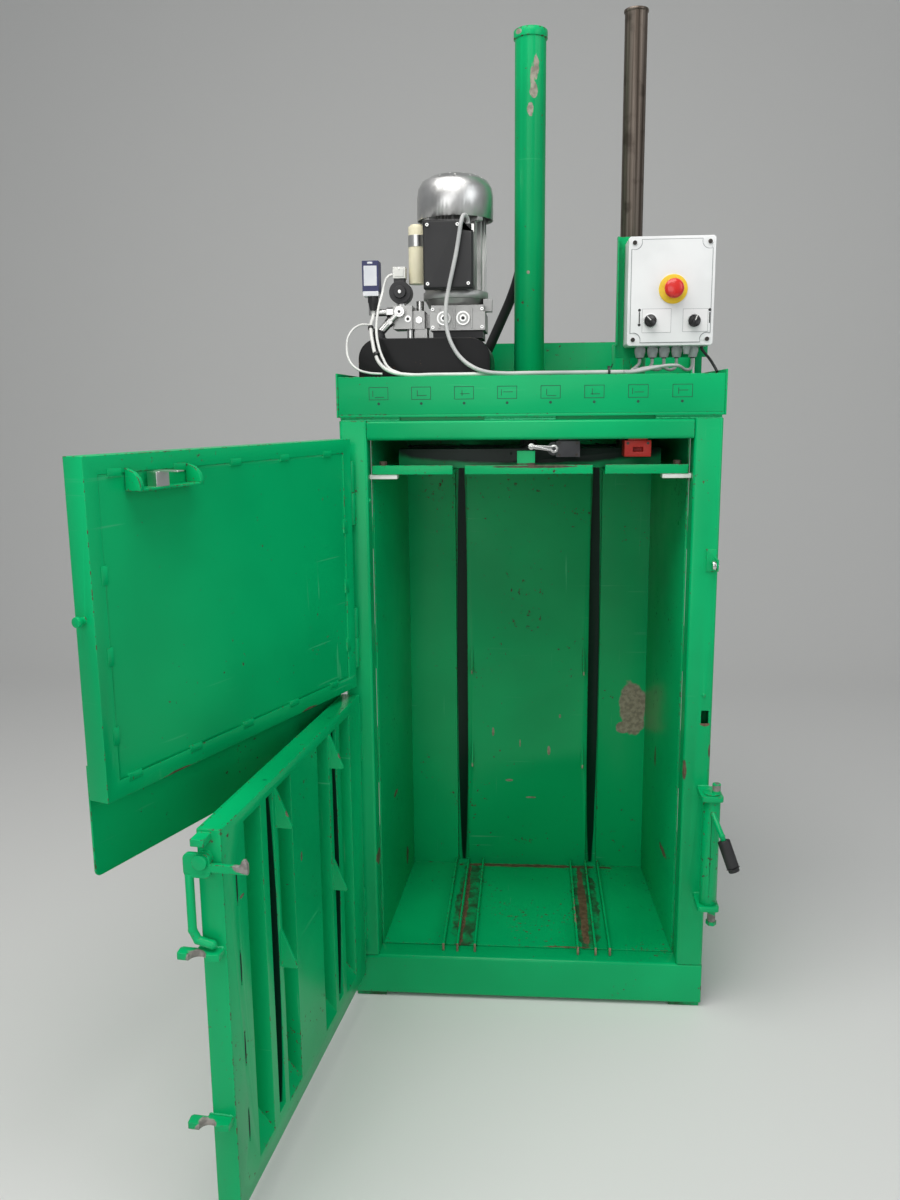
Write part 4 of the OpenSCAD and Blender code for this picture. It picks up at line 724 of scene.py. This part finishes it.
# --- Control enclosure, its bracket and glands
# Pale grey moulded box with cut corners on a green folded bracket. Grey lead glands are screwed in below.
grey_cover = moulded("grey_cover", (0.74, 0.75, 0.75), (0.80, 0.81, 0.81), (0.38, 0.5), 1100, 0.12)
gland_grey = moulded("gland_grey", (0.38, 0.40, 0.41), (0.50, 0.51, 0.52), (0.4, 0.55), 700, 0.15)
bracket_green = enamelled("bracket_green", 0.2, 0.35)
shown("enclosure_bracket", "control_bracket", bracket_green, 0.9)
shown("enclosure_back", "control_box", grey_cover, 1.2, "grey_plastic", steps=3)
shown("enclosure_cover", "control_cover", grey_cover, 1.2, "grey_plastic", steps=3)
gland_rows = [(x, gland_y, *row) for x in gland_x for row in (
    (0, 4, 21, 21, 24, 0), (3, 12, 26, 26, 6, 0), (11, 23, 23.5, 17, 24, 0), (20, 25, 11, 10, 20, 1))]
gland_rows += [(337, 70, 0, 7, 18, 18, 6, 0), (337, 70, 6, 17, 15, 12, 24, 0)]
glands = built("lead_glands", [gland_grey, hose_rubber], width=0.7, bars=[
    ((x, y, box_under - top), (x, y, box_under - foot), *rest) for x, y, top, foot, *rest in gland_rows])
stands_for(glands, "frame", "grey_plastic", "glands")
cover_x, cover_z, cover_w, cover_h, rim_in, corner_r = 297, 1519, 180, 222, 7, 15
cover_mid = cover_z + cover_h / 2
low_x, high_x = cover_x - cover_w / 2 + rim_in, cover_x + cover_w / 2 - rim_in
low_z, high_z = cover_z + rim_in, cover_z + cover_h - rim_in
outline = []
for sx, sz in ((1, 1), (-1, 1), (-1, -1), (1, -1)):
    corner_x, corner_z = cover_x + sx * (cover_w / 2 - 13.5), cover_mid + sz * (cover_h / 2 - 12)
    arc = [(corner_x - sx * corner_r * math.sin(math.radians(t)), corner_z - sz * corner_r * math.cos(math.radians(t)))
           for t in range(-15, 106, 10)]
    start, end = (high_x if sx > 0 else low_x, arc[0][1]), (arc[-1][0], high_z if sz > 0 else low_z)
    arc = [start] + [(min(max(x, low_x), high_x), min(max(z, low_z), high_z)) for x, z in arc] + [end]
    outline += arc if sx * sz > 0 else arc[::-1]
panel_front, panel_back, least_step = 38.6, 40.8, 0.3
rim = outline[:1]
for point in outline[1:]:
    if math.dist(point, rim[-1]) > least_step:
        rim.append(point)
count = len(rim)
sides = [((i + 1) % count, i, i + count, (i + 1) % count + count) for i in range(count)]
panel_mesh = bpy.data.meshes.new("cover_panel")
panel_mesh.from_pydata([(x, y, z) for y in (panel_front, panel_back) for x, z in rim], [],
                       [list(range(count)), list(range(2 * count - 1, count - 1, -1))] + sides)
panel_mesh.transform(Matrix.Scale(0.001, 4))
panel_mesh.materials.append(grey_cover)
panel = placed("cover_panel", panel_mesh)
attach(panel, "frame")
# A mid-grey copy of the panel, a little larger and just behind it, shows as a thin line round its edge: painted shade.
# The same grey rims the blank plates.
shade_line_grey = moulded("shade_line_grey", (0.22, 0.23, 0.24), (0.30, 0.31, 0.32), (0.5, 0.6), 900, 0.05)
shade_line_mesh = panel_mesh.copy()
shade_line_mesh.transform(
    Matrix.Translation((cover_x / 1000, 0.0008, cover_mid / 1000)) @ Matrix.Diagonal((1.016, 1, 1.013, 1))
    @ Matrix.Translation((-cover_x / 1000, 0, -cover_mid / 1000)))
shade_line_mesh.materials.clear()
shade_line_mesh.materials.append(shade_line_grey)
cover_shade_line = placed("cover_shade_line", shade_line_mesh)
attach(cover_shade_line, "frame")
plate_white = moulded("plate_white", (0.78, 0.78, 0.78), (0.84, 0.84, 0.84), (0.3, 0.4), 900, 0.05)
plates = built("blank_plates", [plate_white, hose_rubber, shade_line_grey], [
    ((237.9, 38.25, 1545.4), (298.6, 38.75, 1594.6), 2), ((322.9, 38.25, 1546.4), (375.1, 38.75, 1593.6), 2),
    ((238.5, 38.1, 1546), (298, 38.8, 1594), 0), ((323.5, 38.1, 1547), (374.5, 38.8, 1593), 0),
    ((231, 38.2, 1566), (233.2, 38.7, 1588), 1), ((377.4, 38.2, 1564), (379.6, 38.7, 1586), 1)],
    [((x, 38.8, z), (x, 38.2, z), 6, 6, 16, 1) for x, z in ((232.1, 1562), (232.1, 1592), (378.5, 1591))], width=0)
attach(plates, "frame")
dark_screw = moulded("dark_screw", (0.05, 0.045, 0.04), (0.11, 0.10, 0.09), (0.35, 0.5), 500, 0.2, metallic=0.8)
screw_points = [(cover_x + sx * 77.5, 38.6, cover_z + z) for sx in (-1, 1) for z in (12.5, cover_h - 12.5)]
cover_screws = grown("cover_screws", screw_points, screw_heads, Across=0.009, Height=0.0014, Seed=6,
                     Head=dark_screw, Recess=socket_dark)
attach(cover_screws, "frame")

# --- Emergency stop and selector knobs
# Red mushroom head over a yellow ring, and two black moulded knobs with a raised grip and a white line.
stop_red = moulded("stop_red", (0.62, 0.016, 0.012), (0.72, 0.03, 0.02), (0.25, 0.38), 500, 0.06, coat=0.3)
stop_yellow = moulded("stop_yellow", (0.80, 0.55, 0.02), (0.86, 0.62, 0.04), (0.35, 0.45), 500, 0.08)
knob_black = moulded("knob_black", (0.011, 0.011, 0.012), (0.022, 0.022, 0.023), (0.3, 0.42), 800, 0.2)
mark_white = moulded("mark_white", (0.70, 0.70, 0.68), (0.80, 0.80, 0.78), (0.4, 0.5), 700, 0.1)
shown("stop_head", "estop_button", stop_red, 0.6, "red_plastic", "estop_button", steps=3, limit=30)
shown("stop_ring", "estop_ring", stop_yellow, 1.0, "yellow_plastic", steps=3)
for side, centre_x, centre_z, turn in (("left", 255, 1570, 45), ("right", 346.5, 1568.5, -20)):
    shown("selector_" + side, "knob_" + side, knob_black, 0.25, "black_plastic", "knob_" + side, steps=1)
    pointer = built("pointer_" + side, [mark_white], [((-0.9, 19.5, 0.5), (0.9, 20.3, 11.2), 0)], width=0)
    pointer.data.transform(Matrix.Translation((centre_x / 1000, 0, centre_z / 1000))
                           @ Matrix.Rotation(math.radians(-turn), 4, "Y"))
    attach(pointer, "knob_" + side)

# --- Limit switch with its roller lever, and the door safety switch
# Die-cast switch under the head beam with a steel lever that the plate lifts; red moulded safety switch beside it.
cast_grey = moulded("cast_grey", (0.06, 0.06, 0.065), (0.11, 0.11, 0.115), (0.42, 0.6), 420, 0.35, metallic=0.6)
safety_red = moulded("safety_red", (0.55, 0.016, 0.012), (0.66, 0.03, 0.02), (0.35, 0.5), 600, 0.1)
shown("limit_switch_body", "limit_switch", cast_grey, 1.0, "grey_plastic")
shown("limit_switch_lever", "limit_lever", bright_metal, 0.5, "bright_steel", "limit_lever")
shown("safety_switch", "interlock_switch", safety_red, 1.0, "red_plastic")
screw_points = [(215, 44.9, 1314), (258, 44.9, 1314)] + [(x, 23.9, z) for z in (1316, 1291) for x in (66, 104)]
small_screws = grown("switch_screws", screw_points, screw_heads, Across=0.006, Height=0.0011, Seed=9,
                     Head=dark_screw, Recess=socket_dark)
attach(small_screws, "frame")

# --- Pressing plate, slide blocks and rods
# Folded and welded plate in three sections with white nylon blocks at its corners. Its front lip is rubbed bare
# and its bolts are rusty. The guide rod is dark uncoated steel, streaked along its length.
# The dark green across the plate's top and its channels, under the deck, is painted shade.
plate_green = enamelled(
    "plate_green", 0.4, 0.7, bare_tone=(0.11, 0.08, 0.06), shade=[((0, 0.27, 1.30), (0.42, 0.235, 0.045), 0.1, 16)],
    bare=[((0, 0.022, 1.2715), (0.36, 0.006, 0.0028), 0.5, 55), ((0.02, 0.0195, 1.266), (0.10, 0.003, 0.003), 0.62, 50)]
    + [((x, y, 1.27), (0.012, 0.012, 0.02), 0.3, 60) for x, y in (
        (0.321, 0.042), (-0.321, 0.042), (0.3, 0.468), (-0.3, 0.468))])
nylon_white = moulded("nylon_white", (0.68, 0.68, 0.65), (0.80, 0.80, 0.77), (0.4, 0.55), 300, 0.2)
shown("pressing_plate", "platen", plate_green, 0.8, body="press")
shown("slide_blocks", "slide_pads", nylon_white, 1.0, "nylon", "press")


def drawn_steel(name, dark, light, rough):
    """Drawn round bar: streaks along its length, uncoated."""
    mat, tree, shader = new_material(name)
    where = own_place(tree)
    drawn = added(tree, "ShaderNodeMapping", {"Vector": where, "Scale": (150, 150, 1.6)})
    streak, blots = noise(tree, drawn, 1, 4), noise(tree, where, 24, 5)
    lined = colour_mix(tree, spread(tree, streak, 0.34, 0.66), dark, light)
    stained = colour_mix(tree, spread(tree, blots, 0.5, 0.68, 0, 0.6), lined, tuple(c * 0.55 for c in dark))
    fed(tree, shader, {"Base Color": stained, "Roughness": spread(tree, streak, 0.3, 0.7, *rough),
                       "Normal": raised(tree, streak, 0.2, 0.0005), "Metallic": 0.85})
    return mat


guide_steel = drawn_steel("guide_steel", (0.10, 0.078, 0.062), (0.24, 0.20, 0.17), (0.35, 0.5))
chrome_rod = drawn_steel("chrome_rod", (0.45, 0.45, 0.45), (0.62, 0.62, 0.62), (0.12, 0.22))
shown("guide_bar", "guide_rod", guide_steel, 1.0, "bare_rod", "press")
shown("piston_bar", "piston_rod", chrome_rod, 0.8, "bare_rod", "press")

# --- Lower door with its panel
# Sheet steel door with folded boxes between two open strap slots, four teeth, two claws and the latch pivot.
# The claws are worn bright; the door's edges are chipped.
hinge_x, hinge_y, turn_low, turn_up = -0.387, -0.014, math.radians(97), math.radians(112)


def on_door(turn, u, v, z):
    """A place on a door open by turn: u along the door from the hinge, v across it, in metres."""
    return (hinge_x + u * math.cos(turn) + v * math.sin(turn), hinge_y - u * math.sin(turn) + v * math.cos(turn), z)


def on_lower(u, v, z):
    return on_door(turn_low, u, v, z)


door_green = enamelled(
    "door_green", 0.24, 0.55, bare_tone=(0.34, 0.32, 0.29),
    bare=[(on_lower(0.794, -0.030, z), (0.018, 0.024, 0.012), 0.45, 60) for z in (0.259, 0.558)]
    + [(on_lower(0.25, 0.012, 0.762), (0.03, 0.03, 0.004), 0.5, 60),
       (on_lower(0.55, 0.008, 0.762), (0.02, 0.05, 0.004), 0.5, 60)])
# The dark green in the two strap slots, along their walls and in the four slits of the free edge is painted shade.
panel_green = enamelled(
    "panel_green", 0.24, 0.8, bare_tone=(0.2, 0.15, 0.11),
    shade=[(on_lower(u, -0.001, 0.436), (0.0135, 0.010, 0.36), 0.04, 30) for u in (0.192, 0.552)]
    + [(on_lower(u, -0.028, 0.436), (0.036, 0.030, 0.325), 0.04, 30) for u in (0.207, 0.567)]
    + [(on_lower(0.718, 0.0118, z), (0.004, 0.0032, 0.034), 0.04, 30) for z in (0.214, 0.356, 0.503, 0.644)],
    bare=[(on_lower(0.235, 0.040, 0.70), (0.010, 0.008, 0.010)), (on_lower(0.539, 0.040, 0.70), (0.010, 0.008, 0.010)),
          (on_lower(0.42, 0.012, 0.56), (0.004, 0.004, 0.010)), (on_lower(0.70, 0.012, 0.62), (0.004, 0.010, 0.003))])
shown("lower_door_sheet", "lower_door", door_green, 0.9, body="lower_door")
shown("lower_door_panel", "lower_panel", panel_green, 0.9, body="lower_door")
claw_seams = [Vector(on_lower(p.x, p.y, p.z)) * 1000 for z in (0.2534, 0.2668, 0.5524, 0.5658)
              for p in seam((0.7684, -0.032, z), (0.7684, 0.005, z), 0.0022)]
# The claw welds carry the same painted highlight of the lighter weld green.
door_welds = grown("door_welds", claw_seams, weld_beads, Size=0.0018, Uneven=0.4, Seed=8, Material=highlit_weld_green)
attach(door_welds, "lower_door")

# --- Latch lever
# Flat plate with a hooked arm and a bent round handle, turning on a washered pin at the free edge of the door.
latch_green = enamelled("latch_green", 0.5, 0.4, bare_tone=(0.3, 0.29, 0.27),
                        bare=[(on_lower(0.78, 0.055, 0.712), (0.02, 0.012, 0.012), 0.4, 60)])
shown("latch_handle", "latch_lever", latch_green, 0.8, body="latch")

# --- Upper door, its inner sheet, flap and key carrier
# Boxed frame with an inner sheet dished along its diagonals and stitch welded, a hanging flap outside, and
# a small carrier with the flat steel key of the safety switch.
key_from, key_to, key_low, key_high = 0.600, 0.645, 1.2762, 1.309
leaf_green = enamelled("leaf_green", 0.22, 0.45, bare=[
    (on_door(turn_up, 0.2, 0.012, 0.781), (0.03, 0.03, 0.005), 0.5, 60),
    (on_door(turn_up, 0.6, 0.008, 0.781), (0.05, 0.04, 0.004), 0.5, 60)])
sheet_green = enamelled("sheet_green", 0.16, 0.6)
key_green = enamelled("key_green", 0.7, 0.4)
shown("upper_door_frame", "upper_door", leaf_green, 1.0, body="upper_door")
shown("upper_door_sheet", "upper_sheet", sheet_green, 0.4, body="upper_door", steps=1, limit=20)
shown("upper_door_flap", "upper_flap", leaf_green, 0.9, body="upper_door")
carrier = eased("key_carrier", "key_bracket", [key_green, bright_metal], 0.8)
for face in carrier.data.polygons:
    x, y, z = face.center
    along = (x - hinge_x) * math.cos(turn_up) - (y - hinge_y) * math.sin(turn_up)
    if key_low < z < key_high and key_from < along < key_to:
        face.material_index = 1
stands_for(carrier, "upper_door", "green_paint", "key_bracket")

# --- Lock shaft, grip and catch roller
# Tube between two lugs with eccentric pins that draw the claws in, turned by a bent bar with a black rubber grip.
# A steel roller on the right post carries the closed upper door.
lock_green = enamelled("lock_green", 0.75, 0.4, bare_tone=(0.24, 0.23, 0.21), bare=[
    ((0.4174, -0.0466, 0.565), (0.011, 0.011, 0.012), 0.4, 60),
    ((0.4174, -0.0466, 0.255), (0.011, 0.011, 0.02), 0.4, 60)])
grip_rubber = moulded("grip_rubber", (0.012, 0.012, 0.013), (0.026, 0.026, 0.027), (0.5, 0.68), 500, 0.4)
shown("lock_bar", "lock_shaft", lock_green, 0.7, body="lock")
shown("hand_grip", "lock_grip", grip_rubber, 3.0, "black_plastic", "lock", steps=4)
shown("door_roller", "catch_roller", bright_metal, 0.8, "bright_steel", "roller")
